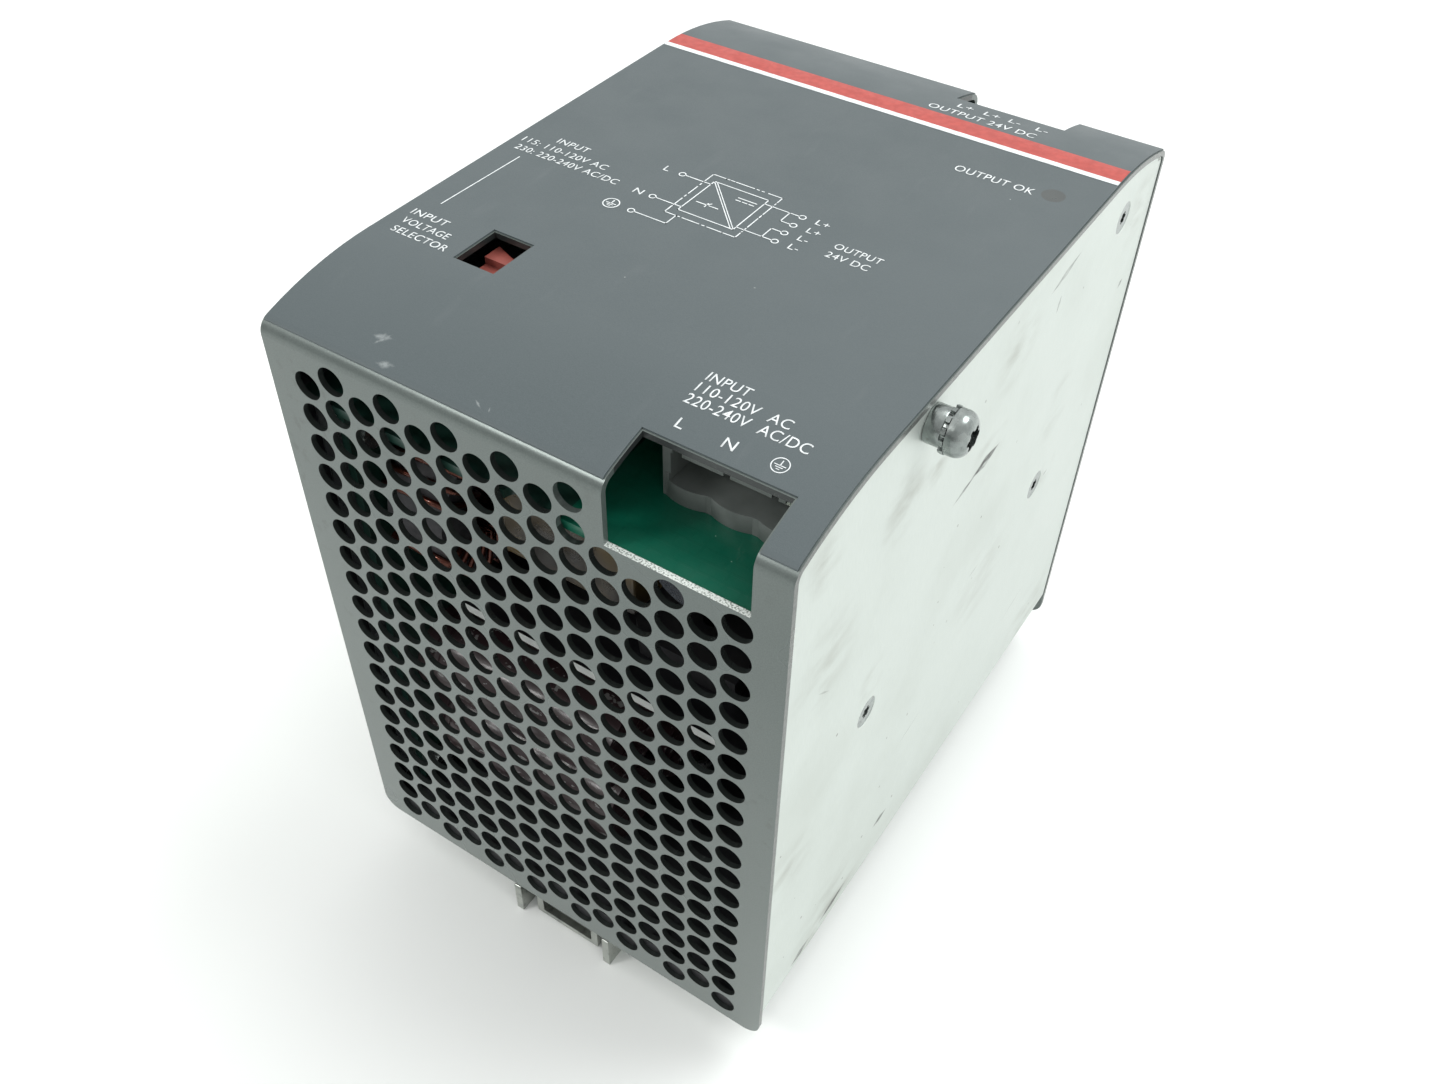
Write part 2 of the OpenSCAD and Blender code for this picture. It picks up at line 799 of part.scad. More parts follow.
module main_board() {
    color(board_green) difference() {
        block([main_board_x, -main_board_half, main_board_low],
              [main_face_x, main_board_half, main_board_high]);
        for (p = spacer_at) translate([0, p.x, p.y])
            rod_x(main_board_x - over, main_face_x + over, clearance_d);
    }
}

module board_spacers() {
    spacer_d = 6;
    color(zinc) for (p = spacer_at) translate([0, p.x, p.y]) difference() {
        rod_x(-inner_x, main_board_x, spacer_d);
        rod_x(-inner_x - over, main_board_x + over, clearance_d);
    }
}

module board_screws() {
    pan_d = 5.6;
    pan_h = 2.2;
    tip = 0.2;
    cross = [1, 1.5, 0.4];
    color(zinc) for (p = spacer_at) translate([0, p.x, p.y]) difference() {
        union() {
            rod_x(main_face_x, main_face_x + pan_h, pan_d);
            rod_x(tip - plate_x, main_face_x + eps, screw_d);
        }
        for (a = [0, 90]) rotate([a, 0, 0]) block([main_face_x + cross[0], -cross[1], -cross[2]],
            [main_face_x + pan_h + over, cross[1], cross[2]]);
    }
}

module insulating_film() {
    film_x = 0.6 - inner_x;
    film_t = 0.4;
    film_z = [10, 109];
    hole = 6.6;
    half = main_board_half + 1;
    color([0.9, 0.88, 0.8]) difference() {
        block([film_x, -half, film_z[0]], [film_x + film_t, half, film_z[1]]);
        for (p = spacer_at) translate([0, p.x, p.y]) rod_x(-inner_x, main_board_x, hole);
    }
}

// ---------- heat spreader and power parts ----------

module heat_spreader() {
    top = spreader_z + spreader_t;
    bore_l = 4;
    bore_d = 3.1;
    color(bare_aluminium) difference() {
        union() {
            block([spreader_x, -spreader_half, spreader_z], [inner_x, spreader_half, top]);
            block([inner_x - flange_t, -spreader_half, top - eps], [inner_x, spreader_half, flange_z]);
        }
        for (p = spreader_screw_at) translate([0, p.x, p.y])
            rod_x(inner_x - bore_l, inner_x + over, bore_d);
        for (p = pillar_at) translate([p.x, p.y, 0]) rod_z(spreader_z - over, top + over, clearance_d);
    }
}

module board_pillars() {
    across_flats = 5.5;
    stub = 2;
    top = spreader_z + spreader_t;
    color([0.88, 0.86, 0.78]) for (p = pillar_at) translate([p.x, p.y, 0]) {
        translate([0, 0, top]) cylinder(d = across_flats / cos(30), h = front_board_z - top, $fn = 6);
        rod_z(spreader_z - stub, top + eps, screw_d);
        rod_z(front_board_z - eps, front_board_top + stub, screw_d);
    }
}

module power_transistors() {
    lead_w = 1.2;
    lead_t = 0.6;
    lead_pitch = 5.45;
    lead_z = spreader_z - pad_t - 2.4;
    half = transistor.y / 2;
    color(plastic_black) for (y = transistor_at) translate([0, y, 0]) {
        block([transistor_x, -half, transistor_base],
              [transistor_x + transistor.x, half, spreader_z - pad_t]);
        for (i = [-1, 0, 1]) block([main_face_x, i * lead_pitch - lead_w / 2, lead_z - lead_t],
            [transistor_x + eps, i * lead_pitch + lead_w / 2, lead_z]);
    }
}

module transistor_pads() {
    rim = 0.8;
    half = transistor.y / 2 + rim;
    color([0.75, 0.75, 0.72]) for (y = transistor_at)
        block([transistor_x - rim, y - half, spreader_z - pad_t],
        [transistor_x + transistor.x + rim, y + half, spreader_z]);
}

module clamp_bar() {
    color(zinc) difference() {
        block([clamp_x[0], -clamp_half, transistor_base - clamp_t],
              [clamp_x[1], clamp_half, transistor_base]);
        for (y = clamp_screw_y) translate([(clamp_x[0] + clamp_x[1]) / 2, y, 0])
            rod_z(transistor_base - clamp_t - over, transistor_base + over, clearance_d);
    }
}

module clamp_screws() {
    screw_head = [5.4, 2];
    low = transistor_base - clamp_t;
    color(zinc) for (y = clamp_screw_y) translate([(clamp_x[0] + clamp_x[1]) / 2, y, 0]) {
        rod_z(low - screw_head[1], low, screw_head[0]);
        rod_z(low - eps, spreader_z - eps, screw_d);
    }
}

module bridge_rectifier() {
    size = [22, 20, 4.6];
    at = [15, -34];
    hole = 3.4;
    corner = 4;
    top = spreader_z + spreader_t;
    color(plastic_black) translate([at.x, at.y, top]) difference() {
        translate([-size.x / 2, -size.y / 2, 0]) cube(size);
        rod_z(-over, size.z + over, hole);
        translate([-size.x / 2, -size.y / 2, 0]) rotate(45)
            cube([corner, corner, 3 * size.z], center = true);
    }
}

// ---------- capacitors, transformer and chokes ----------

// Round can capacitor along X, standing on the main board
module can(d, length) {
    crimp_at = 4;
    crimp_r = 1;
    crimp_depth = 0.8;
    score = [0.4, d * 0.36, 0.2];
    end = main_face_x + length;
    difference() {
        rod_x(main_face_x, end, d);
        translate([main_face_x + crimp_at, 0, 0]) rotate([0, 90, 0]) rotate_extrude()
            translate([d / 2 + crimp_r - crimp_depth, 0]) circle(crimp_r);
        for (a = [0, 60, 120]) rotate([a, 0, 0])
            block([end - score[0], -score[1], -score[2]], [end + over, score[1], score[2]]);
    }
}

module primary_capacitors() {
    color([0.12, 0.12, 0.16]) for (y = [-46.5, -28.4], z = [23.5, 41.5]) translate([0, y, z])
        can(17.6, 44);
}

module output_capacitors() {
    color([0.13, 0.17, 0.13]) for (y = [36, 51.2], z = [73.5, 89]) translate([0, y, z]) can(14.6, 25);
}

// Ferrite core of two E halves that close around the bobbin
module transformer_core() {
    post_d = 13;
    far = core_h - core_leg;
    half = core_w / 2;
    color(ferrite) translate([core_x, core_at.y, core_at.z]) difference() {
        block([0, -half, -core_t / 2], [core_h, half, core_t / 2]);
        difference() {
            block([core_leg, core_leg - half, -core_t], [far, half - core_leg, core_t]);
            rod_x(0, core_h, post_d);
        }
    }
}

module transformer_bobbin() {
    gap = 0.1;
    flange = [1.2, core_w / 2 - core_leg - 0.3, 15];
    bore_d = 13.4;
    foot = [14, 3];
    foot_z = 12;
    x0 = core_x + core_leg + gap;
    x1 = core_x + core_h - core_leg - gap;
    color([0.15, 0.15, 0.15]) translate([0, core_at.y, core_at.z]) {
        difference() {
            union() {
                rod_x(x0, x1, bobbin_d);
                for (x = [x0, x1 - flange.x]) block([x, -flange.y, -flange.z],
                    [x + flange.x, flange.y, flange.z]);
            }
            rod_x(x0 - over, x1 + over, bore_d);
        }
        for (z = [-foot_z, foot_z])
            block([main_face_x, -foot[0], z - foot[1]], [x0 + gap, foot[0], z + foot[1]]);
    }
}

module transformer_winding() {
    winding_d = 28;
    room = 1.5;
    x0 = core_x + core_leg + room;
    x1 = core_x + core_h - core_leg - room;
    color([0.75, 0.6, 0.25]) translate([0, core_at.y, core_at.z]) difference() {
        rod_x(x0, x1, winding_d);
        rod_x(x0 - over, x1 + over, bobbin_d + 0.2);
    }
}

// Ring core along X from x0: size holds its outer and inner diameters and its thickness
module ring_core(x0, size) {
    wall = (size[0] - size[1]) / 2;
    rotate([0, 90, 0]) rotate_extrude() translate([size[1] / 2, x0]) square([wall, size[2]]);
}

// Turns of wire around a ring core of that size, from angle a0 to a1
module ring_turns(x0, size, wire, turns, a0, a1) {
    play = 0.05;
    low = size[1] / 2;
    high = size[0] / 2;
    x1 = x0 + size[2];
    for (i = [0:turns - 1]) rotate([a0 + (a1 - a0) * i / (turns - 1), 0, 0]) difference() {
        block([x0 - wire, low - wire, -wire / 2], [x1 + wire, high + wire, wire / 2]);
        block([x0, low - play, -wire], [x1, high, wire]);
    }
}

module line_choke_core() {
    color([0.2, 0.3, 0.28]) translate(line_choke_at) ring_core(choke_x, line_choke);
}

module line_choke_windings() {
    arc = 140;
    color(copper) translate(line_choke_at) for (a = [20, 200])
        ring_turns(choke_x, line_choke, line_wire, line_turns, a, a + arc);
}

module output_choke_core() {
    color(box_yellow) translate(output_choke_at) ring_core(choke_x, output_choke);
}

module output_choke_winding() {
    color(copper) translate(output_choke_at)
        ring_turns(choke_x, output_choke, output_wire, output_turns, 10, 350);
}

// ---------- parts under and on the front board ----------

module x_capacitor() {
    low = [-9, -57, front_board_z - 19];
    high = [16, -46, front_board_z];
    rim = 1;
    well = 0.6;
    color(box_yellow) difference() {
        block(low, high);
        block([low.x + rim, low.y + rim, low.z - over], [high.x - rim, high.y - rim, low.z + well]);
    }
}

// Disc part that stands on its edge under the front board
module disc(at, d, t) {
    lead_d = 0.8;
    lead_l = 4;
    lead_x = 2.5;
    hang = 1;
    translate([at.x, at.y, front_board_z - d / 2 - hang]) rod_y(-t / 2, t / 2, d);
    for (s = [-1, 1]) translate([at.x + s * lead_x, at.y, 0])
        rod_z(front_board_z - lead_l, front_board_z, lead_d);
}

module y_capacitors() {
    color(disc_blue) for (x = [-2, 9]) disc([x, -40], 9, 3.4);
}

module varistor() {
    color([0.1, 0.25, 0.5]) disc([24, -52], 14, 4.2);
}

module thermistor() {
    color([0.1, 0.12, 0.1]) disc([24, -42], 13, 5);
}

module fuse() {
    half = 10;
    color(tin) translate([fuse_at.x, fuse_at.y, front_board_top + fuse_at.z]) rod_x(-half, half, fuse_d);
}

module fuse_clips() {
    clip_x = 7.5;
    clip = [2, 3.4, 6.4];
    grip_d = fuse_d + 0.1;
    mouth = 2;
    base_slot = [2.9, 0.6, 2.6];
    color(zinc) for (s = [-1, 1])
        translate([fuse_at.x + s * clip_x, fuse_at.y, front_board_top]) difference() {
            block([-clip.x, -clip.y, 0], clip);
            translate([0, 0, fuse_at.z]) rod_x(-clip.x - over, clip.x + over, grip_d);
            block([-clip.x - over, -mouth, fuse_at.z], [clip.x + over, mouth, clip.z + over]);
            block([-clip.x - over, -base_slot[0], base_slot[1]],
                  [clip.x + over, base_slot[0], base_slot[2]]);
        }
}

// Connector strip that joins the main board to the front board
module board_link() {
    pins = 8;
    pitch = 2.54;
    y0 = -8;
    low = 99;
    depth = 7;
    slot_x = [main_face_x + 2, main_face_x + 5];
    slot_half = 0.2 * pitch;
    slot_h = 5;
    color(plastic_black) difference() {
        block([main_face_x, y0, low], [main_face_x + depth, y0 + pins * pitch, front_board_z]);
        for (i = [0:pins - 1]) translate([0, y0 + (i + 0.5) * pitch, low])
            block([slot_x[0], -slot_half, -over], [slot_x[1], slot_half, slot_h]);
    }
}

module control_chips() {
    chip = [2.4, 8, 10];
    color(plastic_black) for (y = [-6, 12], z = [72, 88])
        translate([main_face_x, y - chip.y / 2, z - chip.z / 2]) cube(chip);
}

// ---------- drawing ----------

cover();
cover_brackets();
chassis();
front_label();
lamp_window();
lamp();
din_bracket();
bracket_rivets();
din_latch();
latch_spring();
side_boss();
lock_washer();
side_screw();
plate_screws();
front_board();
input_header();
input_pins();
output_header();
output_pins();
selector_body();
selector_knob();
main_board();
board_spacers();
board_screws();
insulating_film();
heat_spreader();
board_pillars();
power_transistors();
transistor_pads();
clamp_bar();
clamp_screws();
bridge_rectifier();
primary_capacitors();
output_capacitors();
transformer_core();
transformer_bobbin();
transformer_winding();
line_choke_core();
line_choke_windings();
output_choke_core();
output_choke_winding();
x_capacitor();
y_capacitors();
fuse();
fuse_clips();
varistor();
thermistor();
board_link();
control_chips();
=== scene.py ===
"""The looks of the rail power supply: camera, light, print, materials and fine pieces around the CAD."""

import json
import math
import random

import bmesh
import bpy
from mathutils import Matrix, Vector
from mathutils.bvhtree import BVHTree


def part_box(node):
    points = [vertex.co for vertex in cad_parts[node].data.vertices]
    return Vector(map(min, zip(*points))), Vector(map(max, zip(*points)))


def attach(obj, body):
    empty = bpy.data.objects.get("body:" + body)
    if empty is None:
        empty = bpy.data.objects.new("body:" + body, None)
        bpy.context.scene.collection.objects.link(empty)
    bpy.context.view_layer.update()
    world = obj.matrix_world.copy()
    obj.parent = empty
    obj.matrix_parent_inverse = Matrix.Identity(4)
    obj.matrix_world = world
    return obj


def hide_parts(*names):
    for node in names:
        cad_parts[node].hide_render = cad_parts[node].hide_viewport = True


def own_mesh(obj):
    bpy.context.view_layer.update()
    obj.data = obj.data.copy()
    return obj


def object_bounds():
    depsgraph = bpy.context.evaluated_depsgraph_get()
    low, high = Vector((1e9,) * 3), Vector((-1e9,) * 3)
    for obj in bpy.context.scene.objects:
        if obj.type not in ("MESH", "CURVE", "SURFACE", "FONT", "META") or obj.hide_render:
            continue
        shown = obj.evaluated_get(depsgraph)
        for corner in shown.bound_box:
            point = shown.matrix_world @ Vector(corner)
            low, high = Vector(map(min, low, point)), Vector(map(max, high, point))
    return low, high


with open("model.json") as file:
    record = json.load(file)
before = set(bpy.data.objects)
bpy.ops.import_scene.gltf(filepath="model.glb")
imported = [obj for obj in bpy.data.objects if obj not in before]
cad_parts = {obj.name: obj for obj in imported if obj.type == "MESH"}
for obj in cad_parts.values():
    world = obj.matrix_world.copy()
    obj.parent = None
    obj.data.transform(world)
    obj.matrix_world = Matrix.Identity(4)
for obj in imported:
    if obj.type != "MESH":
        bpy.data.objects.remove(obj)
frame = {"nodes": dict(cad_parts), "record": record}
cad_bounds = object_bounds()

MM = 0.001
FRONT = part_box("front_label")
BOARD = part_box("front_board")
FLOOR_Z = cad_bounds[0][2]
WALL_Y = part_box("cover")[1].y
PLATE_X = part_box("chassis")[1].x
PLATE_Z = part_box("chassis")[0].z
NOTCH_X = 8 * MM
INNER_SHADE_DEPTH = 1.95 * MM

# ---------- camera ----------

CAMERA_AT = Vector((98.38, -163.74, 240.37)) * MM
CAMERA_TARGET = Vector((11.05, -25.28, 78.81)) * MM
CAMERA_ROLL = math.radians(1.497)
CAMERA_LENS = 33.46


def add_camera():
    """The camera, above the near right corner."""
    data = bpy.data.cameras.new("camera")
    data.lens = CAMERA_LENS
    data.sensor_width = 36
    data.clip_start = 0.005
    camera = bpy.data.objects.new("camera", data)
    bpy.context.scene.collection.objects.link(camera)
    facing = (CAMERA_TARGET - CAMERA_AT).to_track_quat("-Z", "Y").to_matrix()
    turn = facing @ Matrix.Rotation(CAMERA_ROLL, 3, "Z")
    camera.matrix_world = Matrix.Translation(CAMERA_AT) @ turn.to_4x4()
    bpy.context.scene.camera = camera


# ---------- materials ----------


class Look:
    """One procedural material: a Principled shader and nodes that vary it over the object's coordinates."""

    def __init__(self, name, **sockets):
        self.material = bpy.data.materials.new(name)
        self.material.use_nodes = True
        self.tree = self.material.node_tree
        self.shader = self.tree.nodes["Principled BSDF"]
        for socket, value in sockets.items():
            self.shader.inputs[socket.replace("_", " ")].default_value = value
        self.coordinates = self.tree.nodes.new("ShaderNodeTexCoord")
        self.where = self.coordinates.outputs["Object"]
        self.normal = self.coordinates.outputs["Normal"]

    def add(self, kind, **settings):
        node = self.tree.nodes.new(kind)
        for key, value in settings.items():
            setattr(node, key, value)
        return node

    def link(self, source, target):
        self.tree.links.new(source, target)

    def put(self, socket, value):
        if isinstance(value, bpy.types.NodeSocket):
            self.link(value, socket)
        else:
            socket.default_value = value

    def stretched(self, stretch):
        node = self.add("ShaderNodeMapping")
        self.link(self.where, node.inputs["Vector"])
        node.inputs["Scale"].default_value = stretch
        return node.outputs["Vector"]

    def noise(self, size, detail=2.0, stretch=(1, 1, 1)):
        """Noise whose blobs are about size metres across."""
        node = self.add("ShaderNodeTexNoise")
        self.link(self.stretched(stretch), node.inputs["Vector"])
        node.inputs["Scale"].default_value = 1 / size
        node.inputs["Detail"].default_value = detail
        return node.outputs["Fac"]

    def cells(self, size):
        """Distance from the middle of random cells about size metres across, as a share of that size."""
        node = self.add("ShaderNodeTexVoronoi")
        self.link(self.where, node.inputs["Vector"])
        node.inputs["Scale"].default_value = 1 / size
        return node.outputs["Distance"]

    def ranged(self, value, low, high, to_low=0.0, to_high=1.0):
        """The value carried from low..high to to_low..to_high, and held there beyond."""
        node = self.add("ShaderNodeMapRange")
        for socket, v in zip(node.inputs, (value, low, high, to_low, to_high)):
            self.put(socket, v)
        return node.outputs["Result"]

    def math(self, operation, a, b=0.0):
        node = self.add("ShaderNodeMath", operation=operation)
        self.put(node.inputs[0], a)
        self.put(node.inputs[1], b)
        return node.outputs["Value"]

    def times(self, *values):
        product = values[0]
        for value in values[1:]:
            product = self.math("MULTIPLY", product, value)
        return product

    def above(self, value, limit):
        return self.math("GREATER_THAN", value, limit)

    def below(self, value, limit):
        return self.math("LESS_THAN", value, limit)

    def mix(self, factor, a, b):
        node = self.add("ShaderNodeMix", data_type="RGBA")
        self.put(node.inputs[0], factor)
        self.put(node.inputs[6], a if isinstance(a, bpy.types.NodeSocket) else (*a, 1))
        self.put(node.inputs[7], b if isinstance(b, bpy.types.NodeSocket) else (*b, 1))
        return node.outputs[2]

    def part(self, vector, letter):
        node = self.add("ShaderNodeSeparateXYZ")
        self.link(vector, node.inputs[0])
        return node.outputs[letter]

    def size_of(self, vector, letter):
        """One part of a vector, without its sign."""
        return self.math("ABSOLUTE", self.part(vector, letter))

    def near(self, centre, radius, stretch):
        """1 at centre, falling to 0 at radius, both in metres; stretch below 1 makes the patch longer."""
        shift = self.add("ShaderNodeVectorMath", operation="SUBTRACT")
        self.link(self.where, shift.inputs[0])
        shift.inputs[1].default_value = centre
        squeeze = self.add("ShaderNodeVectorMath", operation="MULTIPLY")
        self.link(shift.outputs[0], squeeze.inputs[0])
        squeeze.inputs[1].default_value = stretch
        length = self.add("ShaderNodeVectorMath", operation="LENGTH")
        self.link(squeeze.outputs[0], length.inputs[0])
        return self.ranged(length.outputs["Value"], 0.0, radius, 1.0, 0.0)

    def slab(self, letter, low, high):
        """1 between two heights in metres along an axis of the object."""
        value = self.part(self.where, letter)
        return self.times(self.above(value, low), self.below(value, high))

    def streak(self, a, b, width, facing):
        """1 at the middle of the line from a to b on a face, falling to 0 at its ends and at half width."""
        a, b = Vector(a), Vector(b)
        along = (b - a).normalized()
        across = along.cross(Vector(facing)).normalized()
        shift = self.add("ShaderNodeVectorMath", operation="SUBTRACT")
        self.link(self.where, shift.inputs[0])
        shift.inputs[1].default_value = (a + b) / 2
        parts = []
        for direction, half in ((along, (b - a).length / 2), (across, width / 2)):
            dot = self.add("ShaderNodeVectorMath", operation="DOT_PRODUCT")
            self.link(shift.outputs[0], dot.inputs[0])
            dot.inputs[1].default_value = direction / half
            parts.append(self.math("ABSOLUTE", dot.outputs["Value"]))
        return self.ranged(self.math("ADD", *parts), 0.0, 1.0, 1.0, 0.0)

    def most(self, values):
        """The largest of the values at each point."""
        top = values[0]
        for value in values[1:]:
            top = self.math("MAXIMUM", top, value)
        return top

    def colour(self, value):
        self.link(value, self.shader.inputs["Base Color"])
        return self

    def roughness(self, value):
        self.link(value, self.shader.inputs["Roughness"])
        return self

    def bump(self, height, depth):
        """Raises the surface by up to depth metres where height is 1."""
        node = self.add("ShaderNodeBump")
        node.inputs["Distance"].default_value = depth
        self.link(height, node.inputs["Height"])
        self.link(node.outputs["Normal"], self.shader.inputs["Normal"])
        return self


def sheet_look():
    """Silver-grey paint on folded steel, made paler towards its foot as painted light, with bare cut edges
    and vent walls darkened as painted shade.
    """
    look = Look("sheet", Metallic=0.38)
    height, right = look.part(look.where, "Z"), look.part(look.where, "X")
    off_end, off_middle = look.size_of(look.where, "Y"), look.size_of(look.where, "X")
    speckle = look.noise(0.00022, 1.0)
    cloud = look.noise(0.03, 3.0)
    paint = look.mix(look.ranged(speckle, 0.3, 0.7), (0.098, 0.119, 0.113), (0.128, 0.150, 0.143))
    paint = look.mix(look.ranged(cloud, 0.35, 0.7, 0.0, 0.35), paint, (0.155, 0.177, 0.169))
    grime = look.times(look.ranged(look.noise(0.0022, 5.0), 0.57, 0.66), look.ranged(cloud, 0.5, 0.62))
    paint = look.mix(look.times(grime, 0.35), paint, (0.07, 0.075, 0.07))
    # painted light: the paint turns paler towards the foot, to brighten the shaded lower part of the wall
    paler_share = look.ranged(height, 5 * MM, 100 * MM, 0.75, 0.0)
    paint = look.mix(paler_share, paint, look.mix(speckle, (0.185, 0.212, 0.203), (0.235, 0.262, 0.251)))

    # the walls of the vent holes, but not of the notch, darkened as painted shade
    sideways = look.below(look.size_of(look.normal, "Y"), 0.35)
    vented = look.times(look.below(off_middle, 42 * MM), look.slab("Z", 3 * MM, FRONT[0].z - 2 * MM))
    notch = look.times(look.above(right, NOTCH_X), look.above(height, BOARD[1].z - 0.5 * MM))
    in_wall = look.above(off_end, WALL_Y - 1.02 * MM)
    vent_wall_shade = look.times(in_wall, sideways, vented, look.math("SUBTRACT", 1.0, notch))
    paint = look.mix(vent_wall_shade, paint, (0.030, 0.036, 0.034))

    # the walls of the openings in the front, darkened as painted shade
    upright = look.below(look.size_of(look.normal, "Z"), 0.3)
    front = look.times(look.below(off_end, 61 * MM), look.below(off_middle, 44 * MM))
    opening_wall_shade = look.times(upright, front, look.above(height, FRONT[0].z - 1.5 * MM))
    paint = look.mix(opening_wall_shade, paint, (0.035, 0.040, 0.040))

    cut = look.above(off_middle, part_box("cover")[1].x - 0.01 * MM)
    metal = look.mix(look.noise(0.0006, 2.0), (0.05, 0.053, 0.05), (0.20, 0.21, 0.20))
    paint = look.mix(cut, paint, metal)

    # the end walls' bare upper edges, along the notches
    up = look.ranged(look.part(look.normal, "Z"), 0.9, 0.98)
    edge = look.slab("Z", BOARD[1].z + 0.2 * MM, BOARD[1].z + 0.9 * MM)
    sill = look.times(up, edge, look.above(right, NOTCH_X + 1 * MM))
    bare = look.mix(look.ranged(look.noise(0.00028, 2.0), 0.36, 0.52), (0.30, 0.34, 0.31), (0.95, 1.0, 0.96))
    look.colour(look.mix(sill, paint, bare))
    look.roughness(look.ranged(cloud, 0.3, 0.7, 0.25, 0.34))
    return look.bump(speckle, 0.000006)


# Small nicks in the front film: two ends in x and y and a width, in millimetres
LABEL_NICKS = (
    (-28.8, -58.6, -24.0, -57.6, 2.4), (-27.4, -60.4, -25.0, -56.4, 1.2), (-25.0, -62.2, -20.6, -61.2, 2.2),
    (-7.6, -60.4, -4.8, -61.9, 0.6), (-4.4, -60.6, -3.8, -62.0, 0.5), (12.0, -20.0, 12.6, -20.4, 0.6),
)


def label_look():
    """Blue-grey film with a fine matt texture, some lint, faint rub marks and a few nicks."""
    look = Look("label", Specular_IOR_Level=0.45)
    grain = look.noise(0.00016, 1.0)
    cloud = look.noise(0.05, 3.0)
    film = look.mix(look.ranged(grain, 0.3, 0.7), (0.068, 0.086, 0.091), (0.082, 0.101, 0.107))
    film = look.mix(look.ranged(cloud, 0.4, 0.7, 0.0, 0.5), film, (0.086, 0.105, 0.111))
    lint = look.below(look.cells(0.009), 0.012)
    film = look.mix(look.times(lint, 0.6), film, (0.6, 0.62, 0.62))
    rub = look.ranged(look.noise(0.004, 4.0, (1, 0.25, 1)), 0.62, 0.8, 0.0, 0.25)
    film = look.mix(rub, film, (0.13, 0.145, 0.152))
    top = FRONT[1].z
    nicks = look.most([look.streak((x0 * MM, y0 * MM, top), (x1 * MM, y1 * MM, top), w * MM, (0, 0, 1))
                       for x0, y0, x1, y1, w in LABEL_NICKS])
    nicks = look.ranged(look.times(nicks, look.noise(0.0005, 4.0)), 0.12, 0.45, 0.0, 0.38)
    look.colour(look.mix(nicks, film, (0.45, 0.48, 0.48)))
    look.roughness(look.ranged(look.noise(0.01, 4.0), 0.3, 0.7, 0.40, 0.52))
    return look.bump(grain, 0.000014)


# Dark scratches on the right side plate: two ends in y and z and a width, all in millimetres, and a strength
SCRATCHES = (
    (5.2, 96.9, -6.6, 96.5, 2.8, 1.0), (-3.0, 96.6, -13.0, 95.4, 1.1, 0.8),
    (27.2, 122.4, 14.2, 120.0, 1.6, 0.55), (20.8, 117.2, 20.0, 113.4, 1.1, 0.55),
    (57.8, 100.2, 55.6, 98.8, 1.4, 0.7), (-17.4, 18.6, -23.5, 18.7, 2.0, 0.85),
    (-32.0, 12.8, -44.0, 11.4, 2.1, 0.9), (-46.0, 11.4, -53.5, 10.4, 2.4, 0.85),
    (-54.5, 8.0, -62.5, 5.4, 2.6, 0.9), (8.0, 66.0, 3.0, 65.6, 0.4, 0.5),
    (36.0, 66.0, 38.6, 66.6, 0.6, 0.5), (-8.0, 40.0, -19.0, 38.6, 0.4, 0.35),
    (60.0, 123.6, 62.4, 122.4, 1.0, 0.6), (44.0, 30.0, 30.0, 27.6, 0.4, 0.3),
    (-50.0, 88.0, -54.0, 91.0, 0.5, 0.35),
)
# Dull smudges on it: a centre in y and z, a radius, all in millimetres, and a strength
SMUDGES = (
    (4.7, 116.2, 9, 0.5), (33.9, 85.0, 8, 0.45), (-21.7, 111.2, 5, 0.8), (-31.9, 111.6, 8, 0.7),
    (-55.4, 119.0, 6, 0.6), (-34.8, 74.7, 5, 0.6), (37.3, 67.2, 5, 0.7), (-52.0, 96.0, 12, 0.4),
    (10.0, 60.0, 14, 0.3), (-40.0, 12.0, 14, 0.6), (50.0, 12.0, 14, 0.5), (-58.0, 50.0, 9, 0.45),
    (56.0, 116.0, 8, 0.5), (0.0, 98.0, 8, 0.35),
)


def aluminium_look():
    """Bare sheet aluminium: fine rolling grain, cloudy oxide, smudges and scratches; inner faces darkened as
    painted shade.
    """
    look = Look("aluminium", Metallic=0.72)
    grain = look.noise(0.0009, 3.0, (1, 14, 0.35))
    cloud = look.noise(0.03, 4.0)
    metal = look.mix(look.ranged(grain, 0.25, 0.75), (0.565, 0.605, 0.575), (0.630, 0.668, 0.640))
    metal = look.mix(look.ranged(cloud, 0.45, 0.75, 0.0, 0.5), metal, (0.53, 0.56, 0.525))

    wisps = look.ranged(look.noise(0.006, 5.0, (1, 0.6, 1.5)), 0.42, 0.68)
    dull = look.most([look.times(look.near((PLATE_X, y * MM, z * MM), r * MM, (0.4, 1, 1)), power)
                      for y, z, r, power in SMUDGES])
    metal = look.mix(look.times(dull, wisps), metal, (0.28, 0.283, 0.245))

    ragged = look.ranged(look.noise(0.0011, 4.0, (1, 0.5, 2.0)), 0.3, 0.6, 0.25, 1.0)
    marks = []
    for y0, z0, y1, z1, width, power in SCRATCHES:
        ends = ((PLATE_X, y0 * MM, z0 * MM), (PLATE_X, y1 * MM, z1 * MM))
        line = look.streak(*ends, width * MM, (1, 0, 0))
        marks.append(look.times(look.ranged(line, 0.02, 0.28), power))
    right = look.above(look.part(look.where, "X"), PLATE_X - 0.5 * MM)
    metal = look.mix(look.times(look.most(marks), ragged, right), metal, (0.07, 0.068, 0.065))
    specks = look.times(look.below(look.cells(0.006), 0.05), look.ranged(cloud, 0.42, 0.5), 0.7)
    metal = look.mix(specks, metal, (0.16, 0.155, 0.14))

    # painted shade: the inner faces, seen through the vents, are near black
    inner_shade = look.times(look.below(look.size_of(look.where, "X"), PLATE_X - INNER_SHADE_DEPTH),
                        look.above(look.part(look.where, "Z"), PLATE_Z + INNER_SHADE_DEPTH))
    look.colour(look.mix(inner_shade, metal, (0.060, 0.063, 0.068)))
    look.roughness(look.ranged(cloud, 0.3, 0.7, 0.42, 0.58))
    return look.bump(grain, 0.00001)


